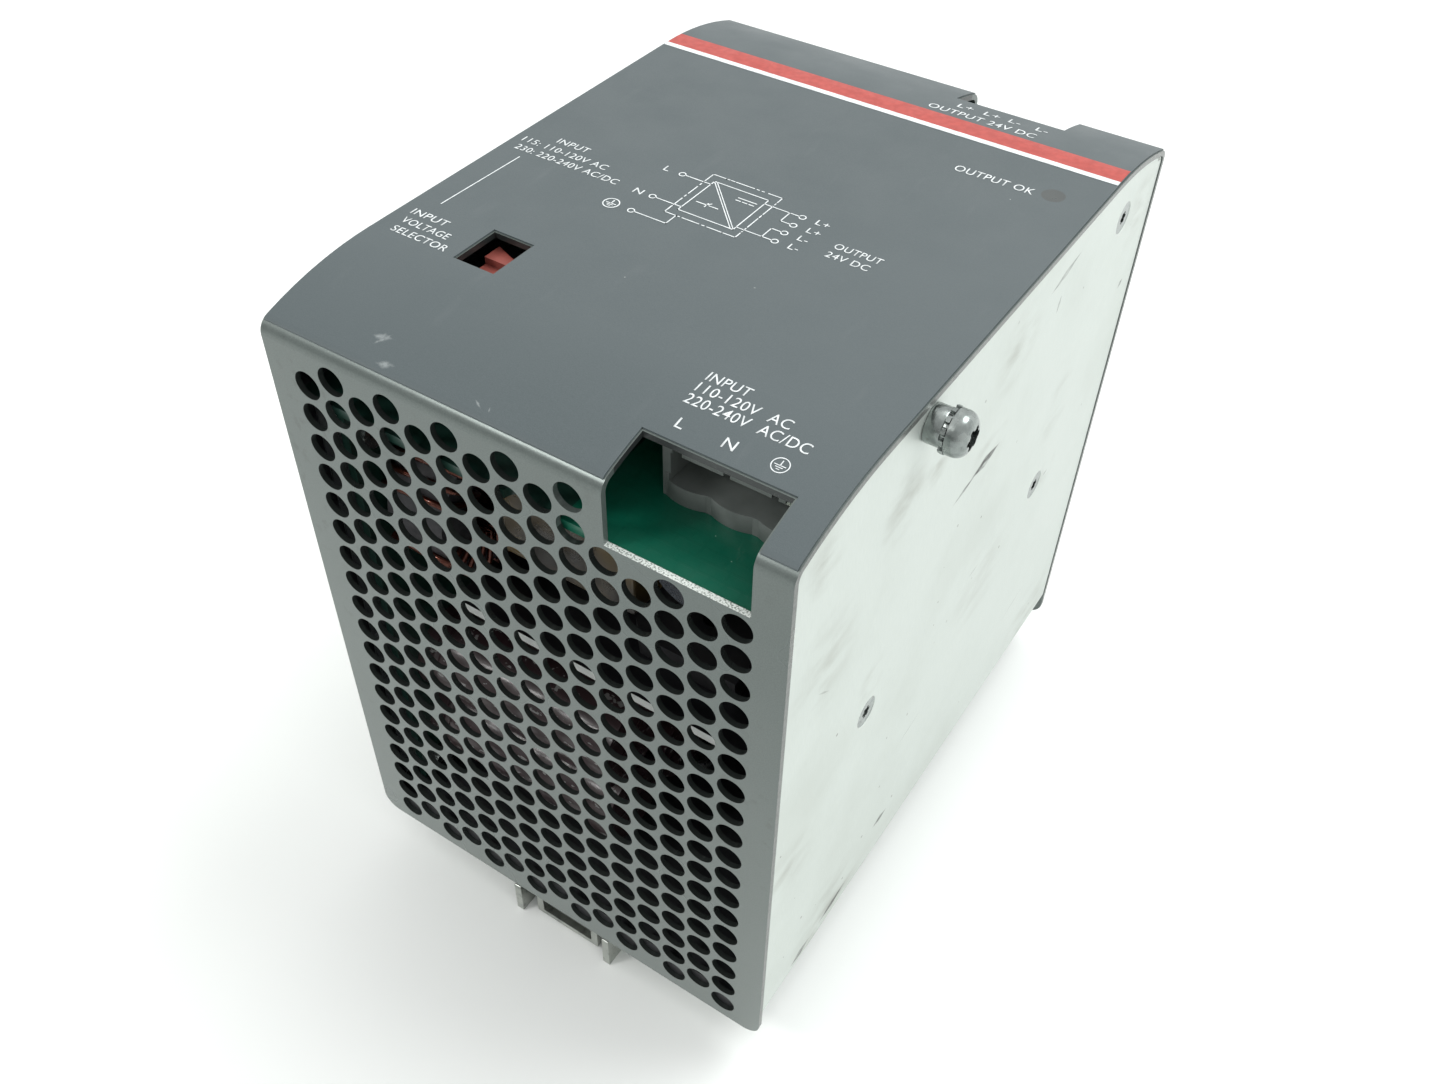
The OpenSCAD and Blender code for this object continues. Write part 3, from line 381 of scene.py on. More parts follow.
def shaded_spreader_look():
    """Near-black aluminium as painted shade, bright where it is sawn at the two ends."""
    look = Look("anodised", Metallic=0.8)
    ends = look.above(look.size_of(look.normal, "Y"), 0.9)
    cloud = look.noise(0.02, 3.0)
    # painted shade: the near-black colour stands for the shade over the spreader inside the housing
    dark = look.mix(cloud, (0.034, 0.034, 0.040), (0.062, 0.062, 0.070))
    sawn = look.mix(look.noise(0.0006, 2.0, (0.3, 1, 1)), (0.70, 0.72, 0.70), (0.95, 0.97, 0.95))
    look.colour(look.mix(ends, dark, sawn))
    look.roughness(look.ranged(cloud, 0.3, 0.7, 0.30, 0.45))
    return look.bump(look.noise(0.0005, 2.0), 0.00001)


def plated_look(name, dark, light, rough, size=0.004):
    """Zinc-plated steel: faint crystal patches, a soft shine and dirt in its hollows."""
    look = Look(name, Metallic=0.95)
    patches = look.ranged(look.noise(size, 2.0), 0.35, 0.65)
    metal = look.mix(patches, dark, light)
    dirt = look.ranged(look.noise(0.0014, 4.0), 0.58, 0.72, 0.0, 0.5)
    look.colour(look.mix(dirt, metal, tuple(0.3 * c for c in dark)))
    look.roughness(look.ranged(look.noise(0.002, 3.0), 0.3, 0.7, rough - 0.07, rough + 0.08))
    return look.bump(look.noise(0.0004, 2.0), 0.000004)


def plastic_look(name, dark, light, rough, size=0.006, grain=0.0002, depth=0.00001, **sockets):
    """Moulded plastic: cloudy colour and a fine spark-eroded texture."""
    look = Look(name, **sockets)
    look.colour(look.mix(look.ranged(look.noise(size, 3.0), 0.3, 0.7), dark, light))
    look.roughness(look.ranged(look.noise(size * 0.6, 3.0), 0.3, 0.7, rough - 0.06, rough + 0.06))
    return look.bump(look.noise(grain, 1.0), depth)


def board_look():
    """Solder mask with darker tracks, vias and dust: bright green by the sockets, and near black elsewhere
    as painted shade.
    """
    look = Look("board", Coat_Weight=0.25, Coat_Roughness=0.2)
    tracks = look.add("ShaderNodeTexBrick", offset=0.37, squash=0.6, squash_frequency=3)
    look.link(look.where, tracks.inputs["Vector"])
    for socket, value in (("Scale", 120.0), ("Mortar Size", 0.035), ("Mortar Smooth", 0.4)):
        tracks.inputs[socket].default_value = value
    green = look.mix(look.noise(0.02, 2.0), (0.002, 0.090, 0.052), (0.003, 0.115, 0.068))
    green = look.mix(look.times(tracks.outputs["Fac"], 0.08), green, (0.001, 0.055, 0.030))
    via = look.below(look.cells(0.007), 0.045)
    green = look.mix(look.times(via, 0.7), green, (0.02, 0.30, 0.16))
    paler_share = look.below(look.cells(0.0031), 0.03)
    green = look.mix(look.times(paler_share, 0.7), green, (0.35, 0.55, 0.45))
    # painted shade: near black where the housing shades the board, away from the sockets
    dark = look.mix(look.noise(0.012, 3.0), (0.006, 0.026, 0.019), (0.012, 0.044, 0.033))
    clear_of_painted_shade = look.times(look.above(look.part(look.where, "X"), NOTCH_X),
                            look.above(look.part(look.where, "Z"), BOARD[0].z))
    look.colour(look.mix(clear_of_painted_shade, dark, green))
    look.roughness(look.ranged(look.noise(0.004, 3.0), 0.3, 0.7, 0.30, 0.42))
    return look.bump(tracks.outputs["Fac"], 0.00001)


def stripes(look, letter, pitch):
    """A ramp from 0 to 1 that starts again every pitch metres along an axis."""
    return look.math("FRACT", look.times(look.part(look.where, letter), 1 / pitch))


def sleeve_look():
    """Dark shrink sleeve with rows of small pale print."""
    look = Look("sleeve", Coat_Weight=0.4, Coat_Roughness=0.15)
    flecks = look.ranged(look.noise(0.0016, 2.0, (1, 1, 2.5)), 0.60, 0.64)
    print_rows = look.times(flecks, look.below(stripes(look, "Z", 3.1 * MM), 0.4), 0.6)
    dark = look.mix(look.noise(0.01, 2.0), (0.030, 0.018, 0.022), (0.055, 0.026, 0.028))
    look.colour(look.mix(print_rows, dark, (0.42, 0.43, 0.42)))
    look.roughness(look.ranged(look.noise(0.003, 2.0), 0.3, 0.7, 0.3, 0.42))
    return look.bump(look.noise(0.002, 2.0), 0.00002)


def copper_look():
    """Enamelled copper wire."""
    look = Look("copper", Metallic=0.85, Coat_Weight=0.5, Coat_Roughness=0.1)
    look.colour(look.mix(look.noise(0.001, 2.0), (0.085, 0.022, 0.014), (0.17, 0.05, 0.028)))
    look.roughness(look.ranged(look.noise(0.002, 2.0), 0.3, 0.7, 0.25, 0.38))
    return look.bump(look.noise(0.0004, 2.0, (0.2, 1, 1)), 0.00002)


def glass_look():
    """Clear glass of the fuse."""
    look = Look("fuse_glass", Transmission_Weight=0.85, IOR=1.45)
    look.colour(look.mix(look.noise(0.004, 2.0), (0.78, 0.82, 0.81), (0.92, 0.95, 0.94)))
    look.roughness(look.ranged(look.noise(0.003, 2.0), 0.3, 0.7, 0.04, 0.12))
    return look.bump(look.noise(0.002, 2.0), 0.000005)


def tape_look():
    """Glossy winding tape in overlapping turns."""
    look = Look("tape", Coat_Weight=0.4, Coat_Roughness=0.12)
    turns = stripes(look, "X", 4.7 * MM)
    overlap = look.ranged(turns, 0.0, 0.12)
    tape = look.mix(look.noise(0.006, 2.0), (0.20, 0.14, 0.035), (0.28, 0.19, 0.05))
    look.colour(look.mix(overlap, (0.28, 0.17, 0.03), tape))
    look.roughness(look.ranged(look.noise(0.003, 2.0), 0.3, 0.7, 0.26, 0.4))
    return look.bump(turns, 0.00008)


# Slot, darkest and lightest colour, roughness, and what differs from plastic_look's usual values
PLASTICS = (
    ("dark_lens", (0.045, 0.052, 0.051), (0.062, 0.070, 0.069), 0.3, {}),
    ("lamp", (0.35, 0.6, 0.3), (0.5, 0.75, 0.42), 0.15, {"Transmission_Weight": 0.5}),
    ("header_plastic", (0.120, 0.135, 0.128), (0.175, 0.192, 0.184), 0.36, {"size": 0.005}),
    ("black_plastic", (0.016, 0.016, 0.018), (0.028, 0.028, 0.031), 0.45, {}),
    ("red_plastic", (0.20, 0.050, 0.040), (0.29, 0.075, 0.060), 0.36, {}),
    ("film", (0.066, 0.072, 0.076), (0.090, 0.097, 0.102), 0.3, {}),
    ("nylon", (0.62, 0.60, 0.50), (0.74, 0.72, 0.62), 0.4, {}),
    ("resin", (0.014, 0.014, 0.016), (0.028, 0.028, 0.03), 0.5, {"grain": 0.0004}),
    ("pad", (0.36, 0.37, 0.35), (0.46, 0.47, 0.45), 0.7, {}),
    ("ferrite", (0.035, 0.035, 0.039), (0.062, 0.062, 0.068), 0.6,
     {"size": 0.002, "grain": 0.0006, "depth": 0.00004}),
    ("iron_powder", (0.16, 0.12, 0.03), (0.22, 0.17, 0.045), 0.5, {"depth": 0.00004}),
    # painted shade: capacitor_yellow's near-black darkest colour darkens most of the yellow capacitor
    ("capacitor_yellow", (0.016, 0.012, 0.009), (0.115, 0.075, 0.018), 0.3, {"size": 0.013}),
    ("capacitor_blue", (0.010, 0.014, 0.024), (0.018, 0.026, 0.042), 0.22, {"depth": 0.00004}),
    ("thermistor_green", (0.02, 0.05, 0.02), (0.04, 0.08, 0.035), 0.45, {}),
)


def looks_by_slot():
    """Every material slot of the record and its look."""
    made = {
        "sheet": sheet_look(),
        "label": label_look(),
        "aluminium": aluminium_look(),
        "anodised": shaded_spreader_look(),
        "zinc": plated_look("zinc", (0.34, 0.36, 0.335), (0.47, 0.49, 0.455), 0.34),
        "screw_steel": plated_look("screw_steel", (0.20, 0.222, 0.216), (0.33, 0.358, 0.348), 0.24, 0.002),
        "rivet": plated_look("rivet", (0.62, 0.63, 0.62), (0.78, 0.79, 0.78), 0.3),
        "spring_wire": plated_look("spring_wire", (0.42, 0.42, 0.42), (0.58, 0.58, 0.57), 0.28, 0.001),
        "tin": plated_look("tin", (0.62, 0.60, 0.55), (0.80, 0.78, 0.73), 0.3, 0.0015),
        "board": board_look(),
        "sleeve": sleeve_look(),
        "tape": tape_look(),
        "copper": copper_look(),
        "fuse_glass": glass_look(),
    }
    for slot, dark, light, rough, extras in PLASTICS:
        made[slot] = plastic_look(slot, dark, light, rough, **extras)
    return made


def ink_look(name, dark, light, rough):
    """Screen-printed ink, a little uneven."""
    look = Look(name)
    look.colour(look.mix(look.ranged(look.noise(0.0012, 3.0), 0.35, 0.7), dark, light))
    look.roughness(look.ranged(look.noise(0.004, 3.0), 0.3, 0.7, rough - 0.05, rough + 0.05))
    return look.bump(look.noise(0.00018, 1.0), 0.00001)


looks = looks_by_slot()
slot_of = {s["node"]: s["material_slot"] for s in frame["record"]["subparts"]}


def paint_cad():
    """Gives each CAD node the look of its slot; the boss is plated like its screw."""
    for name, node in frame["nodes"].items():
        look = looks["screw_steel" if name == "side_boss" else slot_of[name]]
        node.data.materials.clear()
        node.data.materials.append(look.material)


# ---------- making pieces ----------


def piece_from(bm, name, look, smooth=False):
    """Turns the mesh into a named piece that rides on the housing."""
    mesh = bpy.data.meshes.new(name)
    bm.normal_update()
    bm.to_mesh(mesh)
    bm.free()
    mesh.materials.append(look.material)
    if smooth:
        mesh.polygons.foreach_set("use_smooth", [True] * len(mesh.polygons))
    piece = bpy.data.objects.new(name, mesh)
    bpy.context.scene.collection.objects.link(piece)
    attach(piece, "housing")
    return piece


def add_tube(bm, points, radius):
    """A round tube along the points, with both ends closed."""
    sides = 8
    rings = []
    side = None
    for i, p in enumerate(points):
        ahead = (points[min(i + 1, len(points) - 1)] - points[max(i - 1, 0)]).normalized()
        if side is None:
            side = ahead.orthogonal().normalized()
        side = (side - ahead * side.dot(ahead)).normalized()
        up = ahead.cross(side)
        turn = [2 * math.pi * k / sides for k in range(sides)]
        rings.append([bm.verts.new(p + (side * math.cos(a) + up * math.sin(a)) * radius) for a in turn])
    for a, b in zip(rings, rings[1:]):
        for k in range(sides):
            bm.faces.new((a[k], a[(k + 1) % sides], b[(k + 1) % sides], b[k]))
    bm.faces.new(rings[0][::-1])
    bm.faces.new(rings[-1])


# ---------- printing on the front film ----------

INK_LIFT = 0.03 * MM
INK_THICKNESS = 0.02 * MM
# Stroke width and letter heights, in millimetres
LINE = 0.2
GLYPH = 1.95
SMALL_GLYPH = 1.6

film_tree = BVHTree.FromPolygons(
    [v.co.copy() for v in frame["nodes"]["front_label"].data.vertices],
    [tuple(p.vertices) for p in frame["nodes"]["front_label"].data.polygons])


def film_height(x, y):
    """Height of the film's face at x, y in metres, or None beside it."""
    hit = film_tree.ray_cast(Vector((x, y, FRONT[1].z + 0.01)), Vector((0, 0, -1)))[0]
    return hit.z if hit is not None and hit.z > FRONT[0].z else None


class Print:
    """Collects flat shapes in millimetres on the front face and lays them on the film as one thin piece."""

    def __init__(self):
        self.bm = bmesh.new()

    def polygon(self, points):
        self.bm.faces.new([self.bm.verts.new((x, y, 0)) for x, y in points])

    def line(self, a, b, width=LINE):
        a, b = Vector(a), Vector(b)
        along = (b - a).normalized()
        side = Vector((-along.y, along.x)) * width / 2
        end = along * width / 2
        self.polygon([a - end - side, b + end - side, b + end + side, a - end + side])

    def path(self, *points):
        for a, b in zip(points, points[1:]):
            self.line(a, b)

    def dashed(self, a, b, pattern=(2.6, 0.7, 0.45, 0.7)):
        """A line broken by the pattern, which gives dash and gap lengths in turn."""
        a, b = Vector(a), Vector(b)
        length, at, k = (b - a).length, 0.0, 0
        while at < length:
            end = min(at + pattern[k % len(pattern)], length)
            if k % 2 == 0:
                self.line(a.lerp(b, at / length), a.lerp(b, end / length))
            at, k = end, k + 1

    def ring(self, centre, radius, width=LINE):
        sides = 32
        for k in range(sides):
            corners = []
            for a, r in ((k, -1), (k + 1, -1), (k + 1, 1), (k, 1)):
                angle = 2 * math.pi * a / sides
                reach = radius + r * width / 2
                corners.append((centre[0] + reach * math.cos(angle), centre[1] + reach * math.sin(angle)))
            self.polygon(corners)

    def band(self, x0, x1, y0, y1, steps):
        """A filled strip in steps, so that it can follow the film's bend."""
        for k in range(steps):
            a, b = y0 + (y1 - y0) * k / steps, y0 + (y1 - y0) * (k + 1) / steps
            self.polygon([(x0, a), (x1, a), (x1, b), (x0, b)])

    def text(self, words, at, height=GLYPH, width=None):
        """Words whose first letter starts at the point, spread over the width when one is given."""
        curve = bpy.data.curves.new("glyphs", "FONT")
        curve.body = words
        curve.size = height / 0.70
        curve.space_character = 1.05
        curve.offset = 0.002 * height
        curve.resolution_u = 4
        holder = bpy.data.objects.new("glyphs", curve)
        bpy.context.scene.collection.objects.link(holder)
        mesh = holder.to_mesh()
        xs = [v.co.x for v in mesh.vertices]
        wide = width / (max(xs) - min(xs)) if width else 1.12
        shift = Matrix.Translation((at[0] - wide * min(xs), at[1], 0))
        mesh.transform(shift @ Matrix.Diagonal((wide, 1, 1, 1)))
        self.bm.from_mesh(mesh)
        holder.to_mesh_clear()
        bpy.data.objects.remove(holder)
        bpy.data.curves.remove(curve)

    def earth(self, centre, radius, stroke=LINE):
        """The earth sign in its ring."""
        x, y = centre
        self.ring(centre, radius, stroke)
        self.line((x, y + radius * 0.62), (x, y - radius * 0.05), stroke)
        for k, share in enumerate((0.66, 0.4, 0.16)):
            level = y - radius * (0.05 + 0.27 * k)
            self.line((x - radius * share, level), (x + radius * share, level), stroke * 0.8)

    def lay(self, name, look):
        """Drops the shapes on the film, thickens them and makes the piece."""
        bmesh.ops.remove_doubles(self.bm, verts=self.bm.verts, dist=0.0005)
        for v in self.bm.verts:
            x, y = v.co.x * MM, v.co.y * MM
            height = film_height(x, y)
            v.co = Vector((x, y, (height if height is not None else FRONT[0].z) + INK_LIFT))
        bmesh.ops.recalc_face_normals(self.bm, faces=self.bm.faces)
        down = [f for f in self.bm.faces if f.normal.z < 0]
        bmesh.ops.reverse_faces(self.bm, faces=down)
        base = bmesh.ops.extrude_face_region(self.bm, geom=list(self.bm.faces))
        for element in base["geom"]:
            if isinstance(element, bmesh.types.BMVert):
                element.co.z += INK_THICKNESS
        # the extrusion leaves its parts in no fixed order, so they are sorted along a slanted line
        slant = Vector((1, 0.6180339, 7.3205081))
        self.bm.verts.sort(key=lambda v: v.co.dot(slant))
        self.bm.faces.sort(key=lambda f: f.calc_center_median().dot(slant))
        piece_from(self.bm, name, look)


def print_diagram(ink):
    """The circuit sketch: mains on the left, the converter's box, the outputs on the right."""
    left, right, low, high = -9.4, 1.0, -8.7, 1.9
    frame_l, frame_r, frame_b, frame_t = -10.8, 2.5, -10.4, 3.7
    pole, mains, earth, outputs = 0.55, -15.0, (-15.3, -13.2), 8.1
    ink.path((left, low), (left, high), (right, high), (right, low), (left, low))
    for shift in (-0.28, 0.28):
        ink.line((left + 0.3 + shift, high - 0.1), (right - 0.3 + shift, low + 0.1), LINE * 0.8)
    ink.dashed((frame_l, low + 0.6), (frame_l, high - 0.9))
    ink.path((frame_l, high - 0.9), (frame_l, frame_t), (frame_l + 2.6, frame_t))
    ink.dashed((frame_l + 2.6, frame_t), (frame_r - 2.6, frame_t), (0.6, 0.35, 0.6, 0.35, 3.4))
    ink.path((frame_r - 2.6, frame_t), (frame_r, frame_t), (frame_r, high))
    ink.dashed((frame_r, high), (frame_r, low), (0.6, 0.5, 3.0, 0.5))
    ink.path((frame_r, low), (frame_r, frame_b), (frame_r - 2.4, frame_b))
    ink.dashed((frame_l + 2.4, frame_b), (frame_r - 2.4, frame_b), (0.4, 0.6, 3.1, 0.6))
    ink.path((frame_l + 2.4, frame_b), (frame_l, frame_b), (frame_l, low + 0.6))
    for y in (0.75, -7.75):
        ink.ring((mains, y), pole)
        ink.line((mains + pole, y), (left, y))
    ink.ring(earth, pole)
    ink.path((earth[0] + pole, earth[1]), (-8.6, earth[1]), (-8.6, frame_b))
    for y in (0.6, -7.8):
        step = -2.85 if y > 0 else 2.85
        ink.line((right, y), (outputs - pole, y))
        ink.path((5.75, y), (5.75, y + step), (outputs - pole, y + step))
        ink.ring((outputs, y), pole)
        ink.ring((outputs, y + step), pole)
        for row in (y, y + step):
            ink.text("L+" if y > 0 else "L-", (10.6, row - 0.6), 1.5)
    ink.text("L", (-18.6, 0.1), 1.6)
    ink.text("N", (-18.6, -8.5), 1.6)
    ink.earth((-19.2, earth[1]), 1.35)
    ink.line((-3.4, -0.2), (0.0, -0.2))
    ink.dashed((-3.4, -1.0), (0.0, -1.0), (0.8, 0.45))
    ink.path((-8.3, -5.0), (-6.4, -5.0), (-5.9, -4.3))
    ink.path((-5.9, -5.0), (-4.3, -5.0))
    ink.line((-6.4, -5.6), (-6.4, -4.5))


def print_front():
    """The stripe, the band and the function marks, in millimetres on the front."""
    white = ink_look("ink_white", (0.60, 0.63, 0.64), (0.80, 0.83, 0.84), 0.5)
    red = ink_look("ink_red", (0.37, 0.040, 0.030), (0.46, 0.062, 0.048), 0.42)
    margin = 0.12
    x0, x1 = FRONT[0].x / MM + margin, FRONT[1].x / MM - margin
    stripe = Print()
    stripe.band(x0, x1, 39.0, 40.3, 3)
    stripe.lay("print_stripe", white)
    band = Print()
    band.band(x0, x1, 40.3, 44.9, 8)
    band.lay("print_band", red)

    ink = Print()
    ink.text("INPUT", (18.4, -42.6), GLYPH, 6.9)
    ink.text("110-120V  AC", (18.4, -45.2), GLYPH, 14.9)
    ink.text("220-240V  AC/DC", (18.3, -47.8), GLYPH, 19.4)
    ink.text("L", (19.9, -52.2), 1.85)
    ink.text("N", (27.2, -52.1), 1.85)
    ink.earth((35.7, -51.0), 1.25, LINE * 0.75)
    ink.text("OUTPUT OK", (20.9, 28.0), 1.95, 14.2)
    for x, mark in ((10.9, "L+"), (16.1, "L+"), (20.9, "L-"), (26.1, "L-")):
        ink.text(mark, (x, 49.8), 1.9)
    ink.text("OUTPUT 24V DC", (6.8, 46.1), 2.0, 20.6)
    ink.text("INPUT", (-38.6, -2.8), SMALL_GLYPH, 6.4)
    ink.text("115: 110-120V AC", (-43.9, -5.6), SMALL_GLYPH, 17.6)
    ink.text("230: 220-240V AC/DC", (-43.3, -8.3), SMALL_GLYPH, 21.2)
    ink.line((-40.5, -10.2), (-41.1, -28.8))
    ink.text("INPUT", (-43.3, -33.7), SMALL_GLYPH, 7.2)
    ink.text("VOLTAGE", (-42.9, -36.4), SMALL_GLYPH, 9.4)
    ink.text("SELECTOR", (-42.5, -39.1), SMALL_GLYPH, 11.0)
    ink.text("OUTPUT", (16.4, -4.3), SMALL_GLYPH, 8.2)
    ink.text("24V DC", (16.4, -7.0), SMALL_GLYPH, 7.4)
    print_diagram(ink)
    ink.lay("print_marks", white)


# ---------- spring ----------


def coil_spring():
    """The latch's pressure spring with closed end turns."""
    low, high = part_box("latch_spring")
    wire = 0.3 * MM
    centre = (low + high) / 2
    radius = (high.x - low.x) / 2 - wire
    start, end = low.y + wire, high.y - wire
    turns, steps, end_turns = 8, 28, 0.72
    share = end_turns / turns
    points = []
    for k in range(turns * steps + 1):
        u = k / (turns * steps)
        along = min(max((u - share) / (1 - 2 * share), 0), 1)
        creep = (u - along) * 1.1 * wire * turns
        y = min(max(start + (end - start) * along + creep, start), end)
        angle = 2 * math.pi * turns * u
        points.append(Vector((radius * math.cos(angle), y, centre.z + radius * math.sin(angle))))
    bm = bmesh.new()
    add_tube(bm, points, wire)
    spring = piece_from(bm, "spring_coil", looks["spring_wire"], smooth=True)
    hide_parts("latch_spring")
    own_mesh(spring)


# ---------- windings ----------


def wound_ring(name, core, replaced, wire, arcs):
    """Round wire on a ring core whose axis lies along X; each arc is (first angle, last angle, turns)."""
    low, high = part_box(core)
    middle = (low + high) / 2
    outer = (high.y - low.y) / 2
    inner = outer / 2 + 0.2 * wire
    half = (high.x - low.x) / 2
    reach = wire / 2
    steps = 16
    bm = bmesh.new()
    for first, last, turns in arcs:
        points = []
        for k in range(turns * steps + 1):
            angle = math.radians(first + (last - first) * k / (turns * steps))
            around = 2 * math.pi * k / steps
            c, s = math.cos(around), math.sin(around)
            square = max(abs(c), abs(s))
            x = middle.x + c / square * (half + reach)
            r = (outer + inner) / 2 + s / square * ((outer - inner) / 2 + reach)
            points.append(Vector((x, middle.y + r * math.cos(angle), middle.z + r * math.sin(angle))))
        add_tube(bm, points, wire / 2)
    coil = piece_from(bm, name, looks["copper"], smooth=True)
    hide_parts(replaced)


# ---------- small parts ----------


def film_sheet(name, columns, rows, gaps):
    """Thin film on a grid whose columns are x and whose rows are (y, z); the cells in gaps stay open."""
    bm = bmesh.new()
    grid = [[bm.verts.new((x, y, z)) for y, z in rows] for x in columns]
    for i in range(len(columns) - 1):
        for k in range(len(rows) - 1):
            if (i, k) not in gaps:
                bm.faces.new((grid[i][k], grid[i + 1][k], grid[i + 1][k + 1], grid[i][k + 1]))
    bmesh.ops.delete(bm, geom=[v for v in bm.verts if not v.link_faces], context="VERTS")
    film = piece_from(bm, name, looks["film"], smooth=True)
    wall = film.modifiers.new("thickness", "SOLIDIFY")
    wall.thickness = 0.3 * MM
    wall.offset = 1


def baffles():
    """Insulating film above and below the heat spreader, between the input side and the output side."""
    spreader, rear, bend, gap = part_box("heat_spreader"), 28.6 * MM, 2 * MM, 0.3 * MM
    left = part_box("main_board")[1].x + gap
    cans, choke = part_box("output_capacitors")[1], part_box("output_choke_winding")[1]
    foot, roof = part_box("bridge_rectifier")[0].z + gap, BOARD[0].z - 0.1 * MM
    rows = [(rear, foot), (rear, cans.z + gap), (rear, roof - bend)]
    for k in range(1, 9):
        angle = math.pi / 2 * k / 8
        rows.append((rear - bend + bend * math.cos(angle), roof - bend + bend * math.sin(angle)))
    rows.append((rear - bend - 1 * MM, roof))
    film_sheet("upper_baffle", (left, cans.x + gap, spreader[1].x - 2.8 * MM), rows, {(0, 0)})
    under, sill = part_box("clamp_bar")[0].z - gap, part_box("chassis")[0].z + 2.3 * MM
    rows = [(rear, z) for z in (sill, choke.z + gap, under, spreader[0].z - gap)]
    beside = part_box("transistor_pads")[1].x + gap
    columns = (left, choke.x + gap, beside, spreader[1].x - gap)
    film_sheet("lower_baffle", columns, rows, {(0, 0), (0, 2), (1, 2)})


def add_box(bm, low, high):
    """A box between two corners, for pieces whose edges are bevelled afterwards."""
    made = bmesh.ops.create_cube(bm, size=1)
    low, high = Vector(low), Vector(high)
    for v in made["verts"]:
        v.co = (low + high) / 2 + Vector([c * e for c, e in zip(v.co, high - low)])


def shade_strips():
    """Black strips over the back plate's two end faces, behind the lowest vent holes, as painted shade."""
    gap, half_width, foot, top = 0.04 * MM, 42 * MM, 2.0 * MM, 9.4 * MM
    # painted shade: dark strips make the lowest vent holes look black
    faces = (WALL_Y - 1 * MM - gap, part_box("chassis")[1].y + gap)
    for name, side in (("shade_strip_low", -1), ("shade_strip_high", 1)):
        low_y, high_y = sorted(side * y for y in faces)
        bm = bmesh.new()
        add_box(bm, (-half_width, low_y, foot), (half_width, high_y, top))
        bmesh.ops.bevel(bm, geom=bm.edges[:], offset=0.02 * MM, segments=1, affect="EDGES")
        piece_from(bm, name, looks["black_plastic"])


# Edge roundings of CAD nodes, in millimetres
ROUNDED = {
    "input_header": 0.18, "output_header": 0.18, "selector_knob": 0.2, "selector_body": 0.2,
    "din_latch": 0.25, "din_bracket": 0.2, "side_boss": 0.25, "lock_washer": 0.08, "x_capacitor": 0.6,
    "fuse_clips": 0.1,
}
PIN = 0.9 * MM
# Length, width and height of chip parts, in millimetres
CHIP_SIZES = ((2.0, 1.25, 0.55), (1.6, 0.8, 0.5), (3.2, 1.6, 0.6))


def round_edges():
    """Rounds the sharp edges of moulded, cast and stamped parts."""
    for name, width in ROUNDED.items():
        node = frame["nodes"][name]
        weld = node.modifiers.new("weld", "WELD")
        weld.merge_threshold = 0.000002
        bevel = node.modifiers.new("edges", "BEVEL")
        bevel.width = width * MM
        bevel.segments = 2
        bevel.limit_method = "ANGLE"
        bevel.angle_limit = math.radians(40)


def add_fillet(bm, at, foot, top, height):
    """A concave cone of solder that climbs from the foot radius to the top radius."""
    sides, steps = 20, 5
    rings = []
    for k in range(steps + 1):
        u = k / steps
        radius = top + (foot - top) * (1 - u) ** 2.2
        turn = [2 * math.pi * i / sides for i in range(sides)]
        rings.append([bm.verts.new(at + Vector((radius * math.cos(a), radius * math.sin(a), height * u)))
                      for a in turn])
    for low, high in zip(rings, rings[1:]):
        for i in range(sides):
            bm.faces.new((low[i], low[(i + 1) % sides], high[(i + 1) % sides], high[i]))
    bm.faces.new(rings[0][::-1])
    bm.faces.new(rings[-1])


def solder_joints():
    """Solder around each header pin where it goes through the front board."""
    bm = bmesh.new()
    for name, poles, side in (("input_pins", 3, 1), ("output_pins", 4, -1)):
        low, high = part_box(name)
        half = PIN / 2
        tail_y = (high.y if side > 0 else low.y) - side * half
        for i in range(poles):
            x = low.x + half + (high.x - low.x - PIN) * i / (poles - 1)
            add_fillet(bm, Vector((x, tail_y, BOARD[1].z + 0.01 * MM)), 1.25 * MM, 0.66 * MM, 0.8 * MM)
    piece_from(bm, "solder_joints", looks["tin"], smooth=True)


def chip_parts():
    """Small chip resistors and capacitors, with tinned ends, scattered over the front board."""
    random.seed(7)
    bodies, ends = bmesh.new(), bmesh.new()
    switch = (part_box("selector_body")[0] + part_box("selector_body")[1]) / 2
    for _ in range(26):
        x, y = random.uniform(-36, 34) * MM, random.uniform(-24, 38) * MM
        length, width, height = (c * MM for c in random.choice(CHIP_SIZES))
        turned = random.random() < 0.5
        if math.hypot(x - switch.x, y - switch.y) < 14 * MM:
            continue
        for bm, low, high in ((bodies, -0.36, 0.36), (ends, -0.5, -0.34), (ends, 0.34, 0.5)):
            wide = width / 2 * (0.96 if bm is ends else 1)
            corners = ((low * length, -wide), (high * length, wide))
            if turned:
                corners = ((-wide, low * length), (wide, high * length))
            base = Vector((x, y, BOARD[1].z + 0.02 * MM))
            add_box(bm, base + Vector((*corners[0], 0)), base + Vector((*corners[1], height)))
    for bm in (bodies, ends):
        bmesh.ops.bevel(bm, geom=bm.edges[:], offset=0.05 * MM, segments=2, affect="EDGES")
    piece_from(bodies, "chip_parts", looks["resin"])
    piece_from(ends, "chip_ends", looks["tin"])


# ---------- floor, light ----------


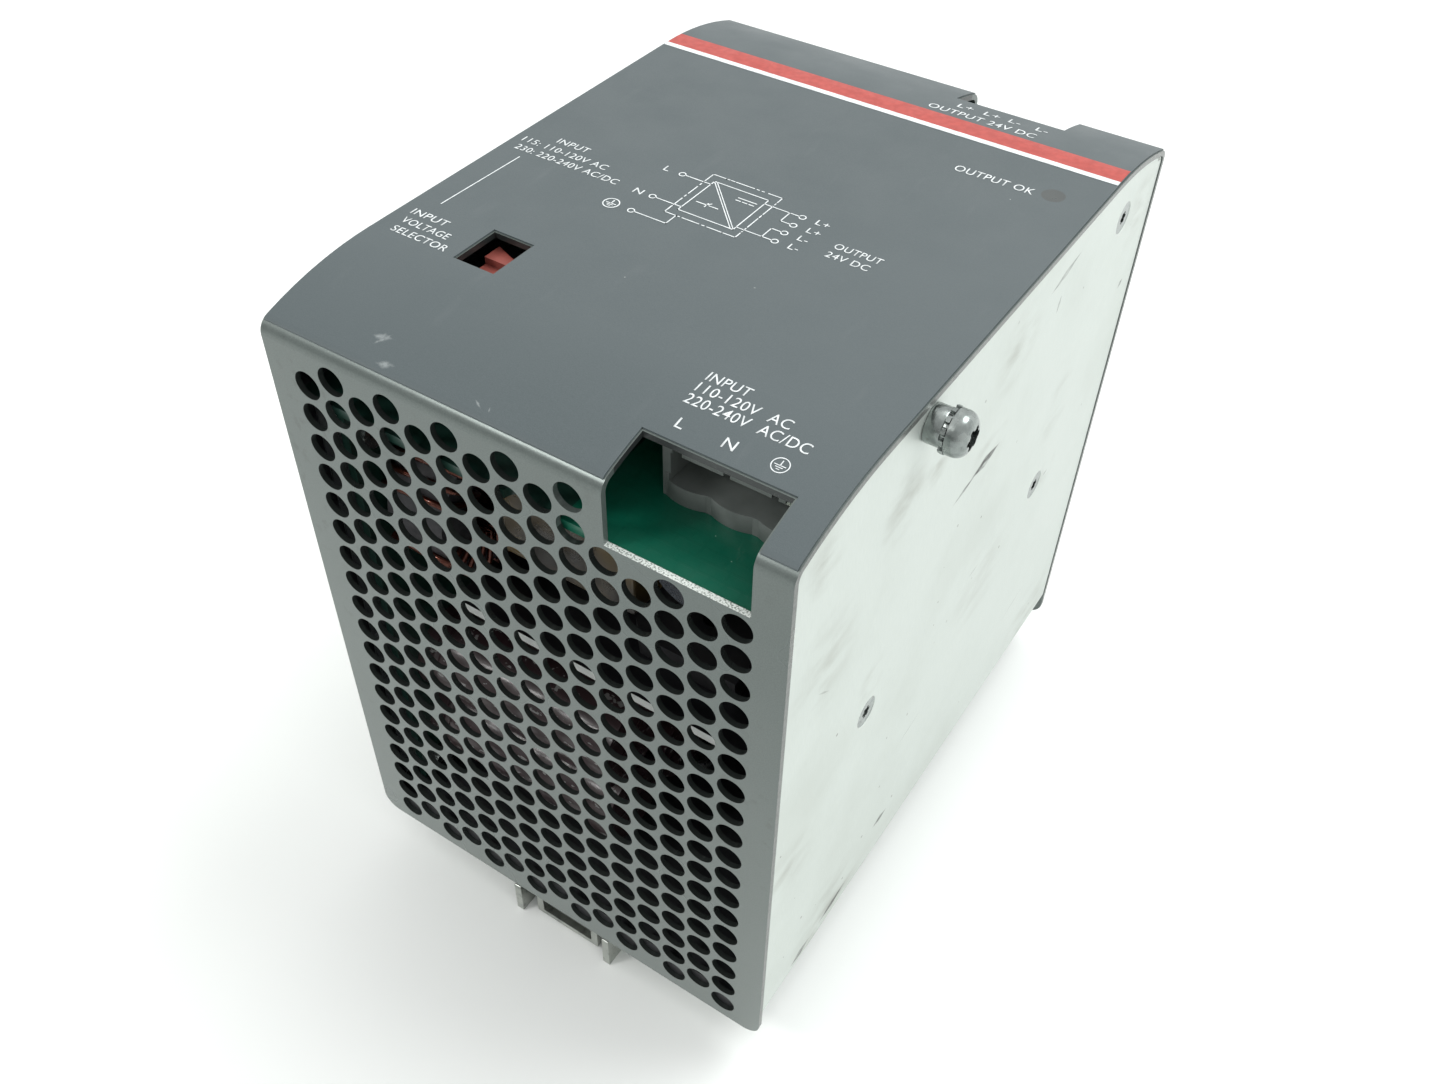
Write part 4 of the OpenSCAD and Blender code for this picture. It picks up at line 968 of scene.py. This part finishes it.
def add_stage():
    """A plain pale table top."""
    look = Look("table")
    look.colour(look.mix(look.noise(0.25, 3.0), (0.828, 0.842, 0.831), (0.855, 0.867, 0.857)))
    look.roughness(look.ranged(look.noise(0.02, 3.0), 0.3, 0.7, 0.5, 0.62))
    bm = bmesh.new()
    bmesh.ops.create_grid(bm, x_segments=2, y_segments=2, size=2.5)
    mesh = bpy.data.meshes.new("table")
    bm.to_mesh(mesh)
    bm.free()
    mesh.materials.append(look.material)
    table = bpy.data.objects.new("table", mesh)
    table.location.z = FLOOR_Z
    bpy.context.scene.collection.objects.link(table)


def add_light(name, at, target, size, power, colour):
    """A round soft light, with sizes in metres and power in watts."""
    data = bpy.data.lights.new(name, "AREA")
    data.shape = "DISK"
    data.size = size
    data.energy = power
    data.color = colour
    light = bpy.data.objects.new(name, data)
    bpy.context.scene.collection.objects.link(light)
    light.location = at
    light.rotation_euler = (Vector(target) - Vector(at)).to_track_quat("-Z", "Y").to_euler()


def add_lights():
    """A pale room, brighter above, behind and to the right, with a ceiling light and a small front light."""
    world = bpy.data.worlds.new("room")
    world.use_nodes = True
    tree = world.node_tree
    coordinates = tree.nodes.new("ShaderNodeTexCoord")
    fall = tree.nodes.new("ShaderNodeVectorMath")
    fall.operation = "DOT_PRODUCT"
    fall.inputs[1].default_value = (0.25, 0.55, 0.45)
    shade = tree.nodes.new("ShaderNodeMapRange")
    for socket, value in zip(list(shade.inputs)[1:5], (-0.55, 0.55, 0.49, 1.18)):
        socket.default_value = value
    tree.links.new(coordinates.outputs["Generated"], fall.inputs[0])
    tree.links.new(fall.outputs["Value"], shade.inputs[0])
    tree.links.new(shade.outputs["Result"], tree.nodes["Background"].inputs["Strength"])
    tree.nodes["Background"].inputs["Color"].default_value = (0.985, 1.0, 0.99, 1)
    bpy.context.scene.world = world
    add_light("ceiling", (0.42, 0.46, 1.1), (0, 0, 0), 0.7, 7.5, (0.98, 1.0, 1.0))
    add_light("front", (-0.46, -0.66, 0.72), (0, -0.06, 0.1), 0.24, 3.0, (1.0, 1.0, 0.98))
    view = bpy.context.scene.view_settings
    view.view_transform = "Standard"
    view.look = "None"


add_camera()
add_stage()
add_lights()
paint_cad()
print_front()
round_edges()
shade_strips()
baffles()
solder_joints()
chip_parts()
coil_spring()
wound_ring("line_choke_wire", "line_choke_core", "line_choke_windings", 1.2 * MM,
           ((20, 160, 11), (200, 340, 11)))
wound_ring("output_choke_wire", "output_choke_core", "output_choke_winding", 1.6 * MM, ((10, 350, 20),))
